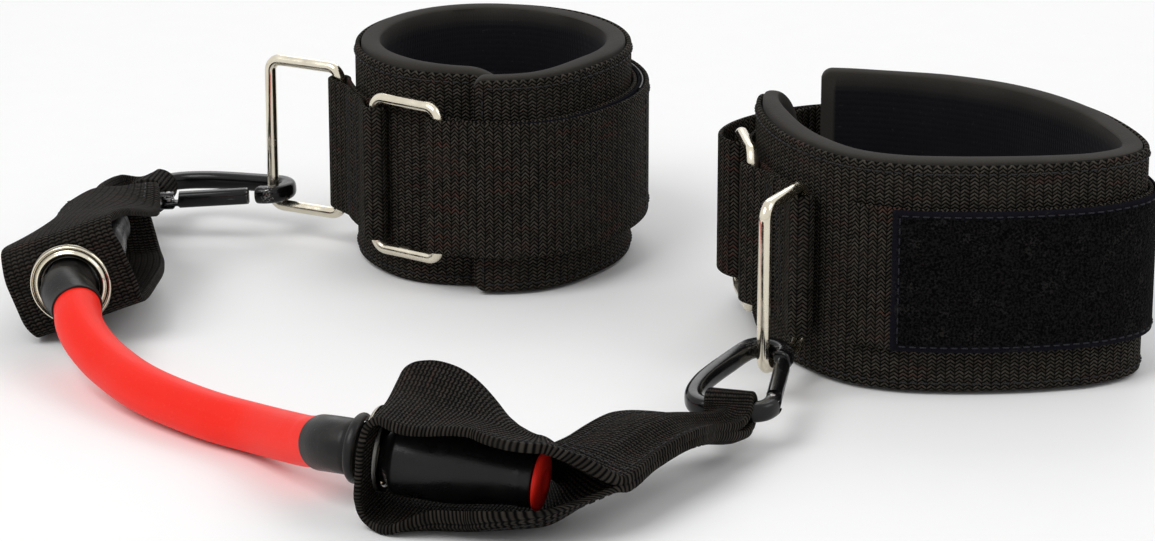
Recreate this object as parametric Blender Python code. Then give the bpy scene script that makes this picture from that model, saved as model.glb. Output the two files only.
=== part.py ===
"""Lateral resistance band: a hollow rubber tube between two padded ankle cuffs.

Units are metres, +Z is up, and the origin is under the middle of the set, on the floor that it lies on.
The side called left carries the closed cuff, the side called right the wide, loosely closed one.
"""
import math

import bmesh
import bpy
import numpy as np
from mathutils import Matrix, Vector

# Clearances
GAP = 0.0003              # between pieces that touch
SEAT = 0.00015            # half of that, on each side of the seam between pad and webbing

# Cuff band
CUFF_HEIGHT = 0.080
PAD_THICK = 0.0070
PAD_END_THICK = 0.0054    # the foam is pressed thinner at both ends of the band
PAD_CROWN = 0.0009        # how far the inner face swells between its rims
RIM_ROUND = 0.0030
WEB_WIDTH = 0.076
WEB_THICK = 0.0020
TONGUE_ROUND = 0.020      # corner radius of the end that tucks in
END_ROUND = 0.004         # corner radius of the end that stays outside
TUCK = 0.018              # overlap of the two ends on the closed cuff
TUCK_RISE = 0.0040        # each end moves this far out of the round there
TUCK_RUN = 0.034          # and takes this length to do so

# Strap, rings and their keepers
STRAP_WIDTH = 0.049
STRAP_THICK = 0.0017
PATCH_THICK = 0.0010
HOOK_THICK = 0.0008
WIRE = 0.0042             # diameter of the ring wire
RING_INNER = 0.0513       # height of the ring's window, for the strap with play
RING_CORNER = 0.0024      # inner corner radius
WRAP_GAP = 0.0005         # webbing round a ring's bar clears its bent ends too
CINCH_PITCH = 0.0280      # between the centres of the two upright bars
LOAD_PITCH = 0.0295
LOAD_SWING = math.radians(27.0)
LOAD_STAND = 0.0080       # bar's centre over the inner face of the webbing
CINCH_FROM_TUCK = 0.005   # the outer bar lies this far behind the tuck
KEEPER_RUN = 0.037        # along the band from the cinch ring's bar to the load ring's
BASE_START = 0.016        # the sewn strap starts this far past the load ring
PATCH_INSET = 0.002       # the patch is this much narrower than the strap, on each side
PATCH_START = 0.008
PATCH_END = 0.012
HOOK_LENGTH = 0.050
FLAP_OPEN = math.radians(45.0)
FLAP_MARGIN = math.radians(14.0)   # the cinch ring's own swing, and room

# Tube and its ends
TUBE_OD = 0.0160
TUBE_END_OD = 0.0140      # the same tube, stretched thin inside the sleeve
TUBE_BORE = 0.0080
SLEEVE_WALL = 0.0008
SLEEVE_MOUTH = 0.0030     # depth of the mouth that the free tube enters
MOUTH_STRAIGHT = 0.0035
SLEEVE_STRAIGHT = 0.0055  # from the middle of the pocket's wall
BULB_START = 0.027        # from the sleeve's mouth
BULB_LENGTH = 0.046
BULB_OD = 0.0240
TAIL_OD = 0.0175
TUBE_STUB = 0.0025        # cut end of the tube past the bulb
PLUG_LENGTH = 0.036
BUMPER_AT = 0.0165
BUMPER_WIRE = 0.0026

# Grommet and pocket
HOLE = 0.0195             # diameter of the grommet's bore
GROMMET_WALL = 0.0009
FLANGE_OD = 0.0285
FLANGE_THICK = 0.0012
WASHER_OD = 0.0244
POCKET_WIDTH = 0.043
POCKET_THICK = 0.0022
POCKET_ROUND = 0.0030
LOOP_WIDTH = 0.0136       # the webbing is gathered to this width in the snap hook
LAYER_GAP = 0.0004        # between the two layers of the strap
EYE_PLAY = 0.0008         # the strap's eye round the snap hook's bar

# Snap hook
HOOK_BAR = 0.0060
HOOK_THICKNESS = 0.0064
HOOK_HALF = 0.0110        # half width at the strap end, between bar centres
NOSE_AT = 0.0435
NOSE_RADIUS = 0.0070
RING_SEAT = 0.0449        # where the ring's bar lies, from the strap bar
GATE_WIDTH = 0.0050
GATE_END = 0.0375
GATE_OPEN = math.radians(18.0)
PIN_AT = (0.0080, -0.0120)
KNUCKLE_THICK = 0.0018
SLOT = 0.0046
PIN_RADIUS = 0.0010
PIN_HOLE = 0.0013
SPRING_WIRE = 0.00055
SPRING_RADIUS = 0.00185
SPRING_PITCH = 0.0010
SPRING_TURNS = 1.5

# How the set lies on the floor, in plan (x, y), seen from above
ROUND_CENTRE = (-0.0280, 0.1224)
ROUND_HALF = (0.0480, 0.0515)
ROUND_TUCK_ANGLE = math.radians(263.5)
OVAL_POINTS = ((0.0750, 0.0639), (0.0670, 0.0479), (0.0660, 0.0299), (0.0695, 0.0099),
               (0.0770, -0.0091), (0.0900, -0.0266), (0.1060, -0.0351), (0.1240, -0.0376),
               (0.1425, -0.0371), (0.1595, -0.0346), (0.1745, -0.0301), (0.1870, -0.0206),
               (0.1890, -0.0061), (0.1815, 0.0199), (0.1685, 0.0419), (0.1525, 0.0589),
               (0.1345, 0.0699), (0.1175, 0.0759), (0.1015, 0.0794), (0.0885, 0.0804))
HOOK_YAW = {"left": math.radians(-8.0), "right": math.radians(74.0)}
STRAP_BAR_Z = {"left": 0.0150, "right": 0.0140}
RING_LIFT = {"left": 0.0047, "right": 0.0012}
FLAP_LENGTH = 0.125
FLAP_LANDS = {"left": 0.010, "right": 0.012}
CROSS_PULL = {"left": (0.010, 0.010), "right": (0.030, 0.030)}
FOLD_TURN = {"left": math.radians(62.0), "right": math.radians(126.0)}
FOLD_OUT = {"left": 0.010, "right": 0.070}
FOLD_BACK = {"left": 0.016, "right": 0.080}
GROMMET_AT = {"left": (-0.1695, 0.0099, 0.0226), "right": (-0.0575, -0.1431, 0.0190)}
AXIS_YAW = {"left": math.radians(86.0), "right": math.radians(-16.0)}
AXIS_FALL = {"left": 0.0, "right": math.radians(4.5)}
MOUTH_WAY = {"left": None, "right": (math.radians(-57.0), math.radians(14.0))}
POCKET_ROLL = {"left": math.radians(-21.0), "right": 0.0}
POCKET_HIGH = {"left": 0.0158, "right": 0.0170}
POCKET_LOW = {"left": 0.0142, "right": 0.0170}
POCKET_HUMP = {"left": 0.0, "right": 0.0065}
HOOD_FROM = {"left": 0.0, "right": 0.016}    # the outer half of the top wraps down round the bulb
HOOD_RUN = {"left": 0.022, "right": 0.040}
POCKET_NECK = {"left": 0.55, "right": 0.0}      # the inner half is drawn in by this share
SLEEVE_OUT = {"left": 0.0080, "right": 0.0230}
POCKET_STRAIGHT = {"left": 0.069, "right": 0.054}
POCKET_CLOSED = {"left": 0.088, "right": 0.074}
POCKET_TAPER = {"left": 0.0042, "right": 0.0050}
NARROW_FROM = {"left": 0.030, "right": 0.054}    # where the belt begins to gather
NARROW_RUN = {"left": 0.062, "right": 0.060}
SPINE_POINTS = {
    "left": ((-0.1670, 0.1009, 0.0225), (-0.1703, 0.1219, 0.0180)),
    "right": ((0.0105, -0.1491, 0.0132), (0.0315, -0.1331, 0.0120)),
}
TUBE_POINTS = ((-0.1655, -0.0181, 0.0152), (-0.1545, -0.0351, 0.0105),
               (-0.1370, -0.0521, 0.0083), (-0.1225, -0.0686, 0.0083), (-0.1095, -0.0821, 0.0084),
               (-0.0980, -0.0971, 0.0098))

# Facets
BAND_STEPS = 68
ROUND_STEPS = 20
TUBE_RINGS = 22


def clear_scene():
    for obj in list(bpy.data.objects):
        bpy.data.objects.remove(obj)


def finish(name, colour, roughness, metallic=0.0):
    material = bpy.data.materials.new(name)
    material.use_nodes = True
    shader = material.node_tree.nodes["Principled BSDF"]
    shader.inputs["Base Color"].default_value = (*colour, 1.0)
    shader.inputs["Roughness"].default_value = roughness
    shader.inputs["Metallic"].default_value = metallic
    material.diffuse_color = (*colour, 1.0)
    return material


def unit(v):
    v = np.asarray(v, float)
    return v / np.linalg.norm(v, axis=-1, keepdims=True)


def ease(x):
    """0 below 0, 1 above 1, and a smooth cubic between."""
    x = np.clip(x, 0.0, 1.0)
    return x * x * (3.0 - 2.0 * x)


def spline(points, per_span=12):
    """A smooth curve through all the points (Catmull-Rom), as a dense list."""
    p = np.asarray(points, float)
    p = np.vstack((2 * p[0] - p[1], p, 2 * p[-1] - p[-2]))
    u = np.linspace(0.0, 1.0, per_span, endpoint=False)[:, None]
    spans = []
    for a, b, c, d in zip(p, p[1:], p[2:], p[3:]):
        spans.append(0.5 * (2 * b + (c - a) * u + (2 * a - 5 * b + 4 * c - d) * u**2
                            + (3 * b - a - 3 * c + d) * u**3))
    return np.vstack((*spans, p[-2][None]))


def bridge(start, start_pull, end, end_pull, count=14):
    """A Hermite curve from start to end, leaving and arriving along the two pulls."""
    u = np.linspace(0.0, 1.0, count)[:, None]
    return ((2 * u**3 - 3 * u**2 + 1) * start + (u**3 - 2 * u**2 + u) * start_pull
            + (3 * u**2 - 2 * u**3) * end + (u**3 - u**2) * end_pull)


def arc(centre, radius, start, end, count):
    """Points on a circle in the plane, from one angle to another."""
    a = np.linspace(start, end, count)
    return np.column_stack((centre[0] + radius * np.cos(a), centre[1] + radius * np.sin(a)))


class Track:
    """A curve with its arc length, in two or three dimensions, on which pieces are laid."""

    def __init__(self, points, outward=1.0):
        self.points = np.asarray(points, float)
        steps = np.linalg.norm(np.diff(self.points, axis=0), axis=1)
        self.s = np.concatenate(((0.0,), np.cumsum(steps)))
        self.length = self.s[-1]
        self.outward = outward

    def point(self, s):
        """Points at arc lengths s, which may lie beyond the ends: the curve goes on straight."""
        s = np.atleast_1d(s)
        found = np.column_stack([np.interp(s, self.s, c) for c in self.points.T])
        before, after = np.minimum(s, 0.0), np.maximum(s - self.length, 0.0)
        first = unit(self.points[1] - self.points[0])
        last = unit(self.points[-1] - self.points[-2])
        return found + before[:, None] * first + after[:, None] * last

    def tangent(self, s, step=0.0008):
        s = np.clip(np.atleast_1d(s), step, self.length - step)
        return unit(self.point(s + step) - self.point(s - step))

    def normal(self, s):
        """The plan direction square to the track, away from the ankle."""
        t = self.tangent(s)
        return self.outward * np.column_stack((t[:, 1], -t[:, 0]))

    def raised(self, s, height):
        """Points at a height above the track, on its outer side."""
        return self.point(s) + self.normal(s) * np.reshape(height, (-1, 1))


def solid(name, rings, material, closed=False, smooth=True, angle=35.0):
    """A closed body from a row of equal rings of points, capped at its ends unless it is closed."""
    rings = np.asarray(rings, float)
    count, around = rings.shape[:2]
    mesh = bpy.data.meshes.new(name)
    faces = []
    for i in range(count if closed else count - 1):
        a = i * around
        b = (i + 1) % count * around
        for j in range(around):
            k = (j + 1) % around
            faces.append((a + j, a + k, b + k, b + j))
    if not closed:
        faces.append(tuple(range(around))[::-1])
        faces.append(tuple((count - 1) * around + j for j in range(around)))
    mesh.from_pydata([tuple(p) for p in rings.reshape(-1, 3)], [], faces)
    work = bmesh.new()
    work.from_mesh(mesh)
    bmesh.ops.remove_doubles(work, verts=work.verts, dist=1e-6)
    bmesh.ops.recalc_face_normals(work, faces=work.faces)
    work.to_mesh(mesh)
    work.free()
    return keep(name, mesh, material, smooth, angle)


def keep(name, mesh, material, smooth=True, angle=35.0):
    if smooth:
        mesh.shade_smooth()
        mesh.set_sharp_from_angle(angle=math.radians(angle))
    mesh.materials.clear()
    mesh.materials.append(material)
    obj = bpy.data.objects.new(name, mesh)
    bpy.context.collection.objects.link(obj)
    return obj


def cutter(name, rings):
    """A closed body that only cuts others."""
    obj = solid(name, rings, CUTTER, smooth=False)
    obj.hide_render = True
    obj.display_type = "WIRE"
    return obj


def cut(obj, tool):
    modifier = obj.modifiers.new("cut_" + tool.name, "BOOLEAN")
    modifier.operation = "DIFFERENCE"
    modifier.solver = "EXACT"
    modifier.object = tool


def ribbon(name, path, low, high, thick, material):
    """Webbing that stands on its edge: a plan path with a thickness, between two heights."""
    track = Track(path)
    s = track.s
    side = track.normal(s) * (thick / 2)
    low = np.broadcast_to(low, s.shape)
    high = np.broadcast_to(high, s.shape)
    inner, outer = path - side, path + side
    ring = [(inner, low), (outer, low), (outer, high), (inner, high)]
    rings = np.stack([np.column_stack((p, z)) for p, z in ring], axis=1)
    return solid(name, rings, material)


def turned(profile, steps=ROUND_STEPS):
    """Rings of a closed profile (along the axis, radius), turned round the X axis."""
    profile = np.asarray(profile, float)
    a = np.linspace(0.0, 2 * math.pi, steps, endpoint=False)[:, None]
    along = np.broadcast_to(profile[:, 0], (steps, len(profile)))
    return np.stack((along, np.cos(a) * profile[:, 1], np.sin(a) * profile[:, 1]), axis=2)


def swept(path, across, radius_a, radius_b, sides, power=2.0):
    """Rings of a rounded section along a path: half sizes a (across) and b (third direction)."""
    track = Track(path)
    t = track.tangent(track.s)
    across = unit(across - t * np.sum(across * t, axis=1)[:, None])
    third = np.cross(t, across)
    angles = (np.arange(sides) + 0.5) * 2 * math.pi / sides
    c, s = np.cos(angles), np.sin(angles)
    c = np.sign(c) * np.abs(c) ** (2 / power)
    s = np.sign(s) * np.abs(s) ** (2 / power)
    ra = np.broadcast_to(radius_a, (len(path),))[:, None, None]
    rb = np.broadcast_to(radius_b, (len(path),))[:, None, None]
    return (np.asarray(path)[:, None] + across[:, None] * ra * c[None, :, None]
            + third[:, None] * rb * s[None, :, None])


def empty(name, where, parent=None):
    """An empty on a joint's axis, which carries what moves there."""
    obj = bpy.data.objects.new(name, None)
    obj.empty_display_size = 0.01
    bpy.context.collection.objects.link(obj)
    obj.location = where
    hang(obj, parent)
    return obj


def hang(obj, parent):
    """Parent an object without moving it."""
    if parent is not None:
        bpy.context.view_layer.update()
        obj.parent = parent
        obj.matrix_parent_inverse = parent.matrix_world.inverted()


def seat(obj, parent):
    """Move a piece's origin to its joint's empty and parent it there."""
    bpy.context.view_layer.update()
    centre = parent.matrix_world.translation
    obj.data.transform(Matrix.Translation(-centre) @ obj.matrix_world)
    obj.matrix_world = Matrix.Translation(centre)
    hang(obj, parent)


def copy_of(name, source, frame, parent):
    """Another object with the same mesh, placed by a frame."""
    obj = bpy.data.objects.new(name, source)
    bpy.context.collection.objects.link(obj)
    obj.matrix_world = frame
    hang(obj, parent)
    return obj


def axes(origin, x, z):
    """A frame from its origin, its X axis and roughly its Z axis."""
    x = Vector(x).normalized()
    y = Vector(z).cross(x).normalized()
    z = x.cross(y)
    return Matrix.Translation(origin) @ Matrix((x, y, z)).transposed().to_4x4()


# Bands: the track is the seam between the pad and its webbing, from the tongue's tip

def round_track():
    """An ellipse walked clockwise, its two ends moved apart where they overlap."""
    mean = sum(ROUND_HALF) / 2
    start = ROUND_TUCK_ANGLE + TUCK / mean
    a = np.linspace(start, ROUND_TUCK_ANGLE - 2 * math.pi, 400)
    run = (start - a) * mean
    shift = (TUCK_RISE * ease((run - run[-1] + TUCK + TUCK_RUN) / TUCK_RUN)
             - TUCK_RISE * ease((TUCK + TUCK_RUN - run) / TUCK_RUN))
    x = ROUND_CENTRE[0] + (ROUND_HALF[0] + shift) * np.cos(a)
    y = ROUND_CENTRE[1] + (ROUND_HALF[1] + shift) * np.sin(a)
    return Track(np.column_stack((x, y)), outward=-1.0)


def oval_track():
    return Track(spline(OVAL_POINTS, 20), outward=1.0)


def end_height(s, length, full):
    """Half height of the band, cut round at its two ends."""
    def corner(run, radius):
        inside = np.clip(radius - run, 0.0, radius * 0.96)
        return radius - np.sqrt(radius**2 - inside**2)
    return full / 2 - corner(s, TONGUE_ROUND) - corner(length - s, END_ROUND)


def band_steps(length):
    """Places along the band, closer at its rounded ends."""
    tip = TONGUE_ROUND * (1 - np.cos(np.linspace(0.0, math.pi / 2, 6)))
    tail = length - END_ROUND * (1 - np.cos(np.linspace(math.pi / 2, 0.0, 4)))
    middle = np.linspace(TONGUE_ROUND, length - END_ROUND, BAND_STEPS)
    return np.concatenate((tip[:-1], middle, tail[1:]))


def make_pad(side, track):
    s = band_steps(track.length)
    half = end_height(s, track.length, CUFF_HEIGHT)
    ends = ease((s - TUCK) / TUCK_RUN) * ease((track.length - s - TUCK) / TUCK_RUN)
    thick = PAD_END_THICK + (PAD_THICK - PAD_END_THICK) * ends
    flank = np.clip(half - RIM_ROUND, 0.002, None)
    section = [(-SEAT, 1.0, 0.0), (-SEAT - 0.16 * thick, 1.0, 0.75), (-0.38 * thick, 1.0, 1.0),
               (-0.64 * thick, 1.0, 1.0), (-0.88 * thick, 1.0, 0.72), (-thick, 1.0, 0.0),
               (-thick - PAD_CROWN * ends, 0.45, 0.0)]
    section += [(h, -f, r) for h, f, r in section[::-1]]
    rings = []
    for h, f, r in section:
        z = f * flank + math.copysign(r, f) * (half - flank)
        rings.append(np.column_stack((track.raised(s, h), CUFF_HEIGHT / 2 + z)))
    return solid(f"cuff_pad_{side}", np.stack(rings, axis=1), FOAM, angle=50.0)


def make_webbing(side, track):
    s = band_steps(track.length)
    half = end_height(s, track.length, WEB_WIDTH)
    path = track.raised(s, SEAT + WEB_THICK / 2)
    middle = CUFF_HEIGHT / 2
    return ribbon(f"cuff_webbing_{side}", path, middle - half, middle + half, WEB_THICK - SEAT, WEBBING)


WEB_TOP = SEAT + WEB_THICK                              # outer face of the band's webbing
STRAP_MID = WEB_TOP + GAP + STRAP_THICK / 2             # middle of a strap that lies on it
BASE_TOP = STRAP_MID + STRAP_THICK / 2
PATCH_MID = BASE_TOP + GAP + PATCH_THICK / 2
HOOK_MID = BASE_TOP + PATCH_THICK + 2 * GAP + HOOK_THICK / 2
FLAP_MID = HOOK_MID + HOOK_THICK / 2 + GAP + STRAP_THICK / 2
WRAP = WIRE / 2 + WRAP_GAP + STRAP_THICK / 2                 # from a bar's centre to a strap round it
BAR_STAND = STRAP_MID + WRAP                            # bar's centre over the seam
CINCH_OUTER = TUCK + CINCH_FROM_TUCK
CINCH_INNER = CINCH_OUTER + CINCH_PITCH
LOAD_AT = CINCH_INNER + KEEPER_RUN
RING_HEIGHT = RING_INNER + WIRE                         # between the centres of the level bars


def strap_heights(width=STRAP_WIDTH):
    return CUFF_HEIGHT / 2 - width / 2, CUFF_HEIGHT / 2 + width / 2


def make_keeper(name, track, at, stand, tail, turn):
    """A strip folded round a ring's bar, its two layers sewn down side by side towards tail."""
    bar = track.raised(at, stand)[0]
    t = track.tangent(at)[0] * turn
    n = track.normal(at)[0]
    low, high = STRAP_MID, STRAP_MID + STRAP_THICK + GAP
    run = np.linspace(tail, at - turn * 0.012, 5)
    under, over = track.raised(run, low), track.raised(run, high)
    back = -track.tangent(run[-1])[0] * turn
    wrap = np.radians(np.linspace(-90.0, 90.0, 9))[:, None]
    loop = bar + WRAP * (np.cos(wrap) * t + np.sin(wrap) * n)
    rise = bridge(under[-1], -back * 0.010, loop[0], t * 0.010, 5)
    fall = bridge(loop[-1], -t * 0.010, over[-1], back * 0.010, 5)
    path = np.vstack((under[:-1], rise[:-1], loop, fall[1:], over[::-1][1:]))
    return ribbon(name, path, *strap_heights(), STRAP_THICK, STRAP)


def make_ring(name, bar, direction, pitch):
    """A rectangle of round wire with bent corners, upright, from its bar towards a direction."""
    radius = RING_CORNER + WIRE / 2
    half = RING_HEIGHT / 2
    flat = []
    for k, (u, v) in enumerate(((pitch - radius, half - radius), (radius, half - radius),
                                (radius, radius - half), (pitch - radius, radius - half))):
        flat.append(arc((u, v), radius, k * math.pi / 2, (k + 1) * math.pi / 2, 5))
    flat = np.vstack(flat)
    direction = np.append(direction, 0.0)
    path = np.array([*bar, CUFF_HEIGHT / 2]) + flat[:, :1] * direction + flat[:, 1:] * (0, 0, 1)
    t = unit(np.roll(path, -1, 0) - np.roll(path, 1, 0))
    across = np.cross(direction, (0.0, 0.0, 1.0))
    third = np.cross(t, across)
    a = np.linspace(0.0, 2 * math.pi, 10, endpoint=False)
    rings = (path[:, None] + WIRE / 2 * (np.cos(a)[None, :, None] * across
                                         + np.sin(a)[None, :, None] * third[:, None]))
    return solid(name, rings, NICKEL, closed=True, angle=60.0)


def make_cuff(side, track):
    """One cuff with its rings, keepers and strap. Returns what the hook and the joints need."""
    load_bar = track.raised(LOAD_AT, LOAD_STAND)[0]
    t, n = track.tangent(LOAD_AT)[0], track.normal(LOAD_AT)[0]
    load_way = math.cos(LOAD_SWING) * n + math.sin(LOAD_SWING) * t
    inner_bar = track.raised(CINCH_INNER, BAR_STAND)[0]
    outer_bar = track.raised(CINCH_OUTER, BAR_STAND + RING_LIFT[side])[0]
    cinch_way = unit(outer_bar - inner_bar)
    outer_bar = inner_bar + CINCH_PITCH * cinch_way
    load_end = load_bar + LOAD_PITCH * load_way
    middle = CUFF_HEIGHT / 2

    ring_joint = empty(f"load_ring_joint_{side}", (*load_end, middle))
    cuff_joint = empty(f"cuff_joint_{side}", (*load_bar, middle), ring_joint)
    cinch_joint = empty(f"cinch_joint_{side}", (*inner_bar, middle), cuff_joint)
    flap_joint = empty(f"flap_joint_{side}", (*outer_bar, middle), cinch_joint)

    seat(make_ring(f"load_ring_{side}", load_bar, load_way, LOAD_PITCH), ring_joint)
    seat(make_ring(f"cinch_ring_{side}", inner_bar, cinch_way, CINCH_PITCH), cinch_joint)

    seam = (LOAD_AT + CINCH_INNER) / 2
    keepers = [make_keeper(f"load_keeper_{side}", track, LOAD_AT, LOAD_STAND, seam + GAP, 1.0),
               make_keeper(f"cinch_keeper_{side}", track, CINCH_INNER, BAR_STAND, seam - GAP, -1.0)]
    for piece in (make_pad(side, track), make_webbing(side, track), *keepers):
        seat(piece, cuff_joint)

    # The strap is sewn on from behind the load ring to the band's end, then goes under the bar
    base_run = np.linspace(LOAD_AT + BASE_START, track.length - GAP, 52)
    base = track.raised(base_run, STRAP_MID)
    lift = np.array((-cinch_way[1], cinch_way[0])) * track.outward
    around = np.radians(np.linspace(270.0, 225.0, 5))[:, None]
    under = outer_bar + WRAP * (np.cos(around) * cinch_way + np.sin(around) * lift)
    leave = track.tangent(track.length)[0]
    pulls = CROSS_PULL[side]
    crossing = bridge(base[-1], leave * pulls[0], under[0], -cinch_way * pulls[1], 12)
    path = np.vstack((base, crossing[1:-1], under))
    seat(ribbon(f"strap_base_{side}", path, *strap_heights(), STRAP_THICK, STRAP), cuff_joint)

    patch_run = np.linspace(LOAD_AT + BASE_START + PATCH_START, track.length - PATCH_END, 44)
    patch_size = strap_heights(STRAP_WIDTH - 2 * PATCH_INSET)
    patch = ribbon(f"loop_patch_{side}", track.raised(patch_run, PATCH_MID), *patch_size,
                   PATCH_THICK, VELOUR)
    seat(patch, cuff_joint)

    # The free end comes up through the ring's window, folds over the bar and lies on the patch
    turn = math.radians(270.0 - 45.0) - FLAP_OPEN - FLAP_MARGIN
    around = np.linspace(turn, FOLD_TURN[side], 7)[:, None]
    over = outer_bar + WRAP * (np.cos(around) * cinch_way + np.sin(around) * lift)
    leave = math.sin(FOLD_TURN[side]) * cinch_way - math.cos(FOLD_TURN[side]) * lift
    flap_run = np.linspace(track.length - FLAP_LANDS[side], track.length - FLAP_LENGTH, 26)
    flap = track.raised(flap_run, FLAP_MID)
    landing = -track.tangent(flap_run[0])[0]
    fold = bridge(over[-1], leave * FOLD_OUT[side], flap[0], landing * FOLD_BACK[side], 16)
    path = np.vstack((over, fold[1:-1], flap))
    seat(ribbon(f"closure_strap_{side}", path, *strap_heights(), STRAP_THICK, STRAP), flap_joint)

    hook_run = flap_run[flap_run < track.length - FLAP_LENGTH + HOOK_LENGTH + 0.004][:-1]
    hook = ribbon(f"hook_patch_{side}", track.raised(hook_run, HOOK_MID), *patch_size, HOOK_THICK, HOOKS)
    seat(hook, flap_joint)
    return {"ring": ring_joint, "end": load_end}


def heading(yaw, rise):
    """A unit vector from its angle in plan and its rise."""
    return np.array((math.cos(yaw) * math.cos(rise), math.sin(yaw) * math.cos(rise), math.sin(rise)))


def tube_end_axis(side):
    """Where the grommet is, and the direction of its bore into the pocket."""
    return np.array(GROMMET_AT[side]), heading(AXIS_YAW[side], -AXIS_FALL[side])


def sleeve_track(side):
    """The middle line of a tube end: straight at the mouth, then bent, straight from the grommet on."""
    centre, way = tube_end_axis(side)
    out = SLEEVE_OUT[side]
    inside = centre + np.linspace(0.0, BULB_START + BULB_LENGTH, 12)[:, None] * way
    if MOUTH_WAY[side] is None:
        return Track(np.vstack((centre - out * way, inside)))
    mouth_way = heading(*MOUTH_WAY[side])
    bend = math.acos(mouth_way @ way)
    aside = (math.cos(bend) * way - mouth_way) / math.sin(bend)
    radius = (out - SLEEVE_STRAIGHT - MOUTH_STRAIGHT) / bend
    turn = np.linspace(bend, 0.0, 25)[:, None]
    root = centre - SLEEVE_STRAIGHT * way
    outside = root - radius * np.sin(turn) * way + radius * (1.0 - np.cos(turn)) * aside
    return Track(np.vstack((outside[0] - MOUTH_STRAIGHT * mouth_way, outside, inside)))


def refined(profile, end, step=0.0034):
    """The profile with more points on its long edges, up to a place along the track."""
    points = []
    for (s, r), (s2, r2) in zip(profile, profile[1:] + profile[:1]):
        points.append((s, r))
        count = int(abs(s2 - s) / step) if min(s, s2) < end else 0
        points += [(s + (s2 - s) * k / (count + 1), r + (r2 - r) * k / (count + 1)) for k in range(1, count + 1)]
    return points


def around(track, profile, steps=ROUND_STEPS):
    """Rings of a closed profile (place along the track, radius) turned round the track."""
    profile = np.asarray(profile, float)
    s = profile[:, 0]
    base = track.point(s)
    way = track.tangent(s)
    up = unit(np.array((0.0, 0.0, 1.0)) - way * way[:, 2:])
    level = np.cross(way, up)
    a = np.linspace(0.0, 2 * math.pi, steps, endpoint=False)[:, None, None]
    return base + profile[:, 1][:, None] * (np.cos(a) * up + np.sin(a) * level)


def make_tube_end(side):
    """Sleeve with its bulb, the tube's end in it, the plug in that, and the bumper ring."""
    track = sleeve_track(side)
    mouth_bore = TUBE_OD / 2 + GAP
    mouth = mouth_bore + SLEEVE_WALL
    bore = TUBE_END_OD / 2 + GAP
    neck = bore + SLEEVE_WALL
    bulb, tail = BULB_OD / 2, TAIL_OD / 2
    end = BULB_START + BULB_LENGTH
    groove = BUMPER_AT
    half = BUMPER_WIRE / 2
    profile = [(0.0, mouth - 0.0004), (0.0006, mouth), (groove - 2.2 * half, mouth),
               (groove - 1.2 * half, neck), (groove + 1.2 * half, neck), (groove + 2.2 * half, mouth),
               (BULB_START - 0.001, mouth), (BULB_START + 0.002, mouth + 0.35 * (bulb - mouth)),
               (BULB_START + 0.005, mouth + 0.8 * (bulb - mouth)), (BULB_START + 0.009, bulb),
               (BULB_START + 0.018, bulb), (BULB_START + 0.028, bulb - 0.25 * (bulb - tail)),
               (end - 0.010, tail + 0.2 * (bulb - tail)), (end - 0.001, tail), (end, tail - 0.0005),
               (end, bore), (BULB_START, bore), (groove, bore), (SLEEVE_MOUTH, bore),
               (SLEEVE_MOUTH, mouth_bore), (0.0, mouth_bore)]
    bent = SLEEVE_OUT[side] if MOUTH_WAY[side] else 0.0
    pieces = [solid(f"tube_sleeve_{side}", around(track, refined(profile, bent), 24), RUBBER, True)]

    outer, inner = TUBE_END_OD / 2, TUBE_BORE / 2
    stub = end + TUBE_STUB
    profile = [(SLEEVE_MOUTH, outer), (stub, outer), (stub, inner), (SLEEVE_MOUTH, inner)]
    pieces.append(solid(f"tube_end_{side}", around(track, refined(profile, bent), 20), LATEX, True))

    start = BULB_START + 0.004
    radius = TUBE_BORE / 2 - GAP
    profile = [(start, 0.0), (start, radius - 0.0008), (start + 0.0008, radius),
               (start + PLUG_LENGTH - 0.0008, radius), (start + PLUG_LENGTH, radius - 0.0008),
               (start + PLUG_LENGTH, 0.0)]
    pieces.append(solid(f"tube_plug_{side}", around(track, profile, 16), PLUG, True))

    centre = neck + GAP + half
    ring = arc((BUMPER_AT, centre), half, 0.0, 2 * math.pi, 11)[:-1]
    pieces.append(solid(f"bumper_ring_{side}", around(track, ring, 24), RUBBER, True))
    for piece in pieces:
        seat(piece, ROOT)
    return track


def make_grommet(side, parent):
    """A flanged barrel through the pocket's wall, rolled over a washer inside."""
    centre, way = tube_end_axis(side)
    track = Track(np.array([centre + s * way for s in (-0.01, 0.0, 0.01)]))
    origin = 0.01
    wall = POCKET_THICK / 2
    bore, barrel = HOLE / 2, HOLE / 2 + GROMMET_WALL
    flange, face = FLANGE_OD / 2, -wall - GAP
    washer_in, washer_out = barrel + GAP, WASHER_OD / 2
    washer = wall + GAP
    roll = washer + 0.0010 + GAP
    profile = [(face, flange), (face - 0.4 * FLANGE_THICK, flange + 0.0001),
               (face - 0.9 * FLANGE_THICK, flange - 0.0008), (face - 1.15 * FLANGE_THICK, flange - 0.002),
               (face - 1.05 * FLANGE_THICK, bore + 0.0012), (face - 0.6 * FLANGE_THICK, bore + 0.0003),
               (face, bore), (roll, bore), (roll + 0.0005, bore + 0.0005),
               (roll + 0.0005, barrel + 0.0008), (roll, barrel + 0.0012), (roll, barrel), (face, barrel)]
    made = [solid(f"grommet_{side}", around(track, [(origin + s, r) for s, r in profile], 28), NICKEL, True)]
    profile = [(washer, washer_in), (washer + 0.0010, washer_in), (washer + 0.0008, washer_out - 0.0004),
               (washer + 0.0003, washer_out), (washer, washer_out)]
    made.append(solid(f"grommet_washer_{side}", around(track, [(origin + s, r) for s, r in profile], 28),
                      NICKEL, True))
    for piece in made:
        seat(piece, parent)


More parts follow.
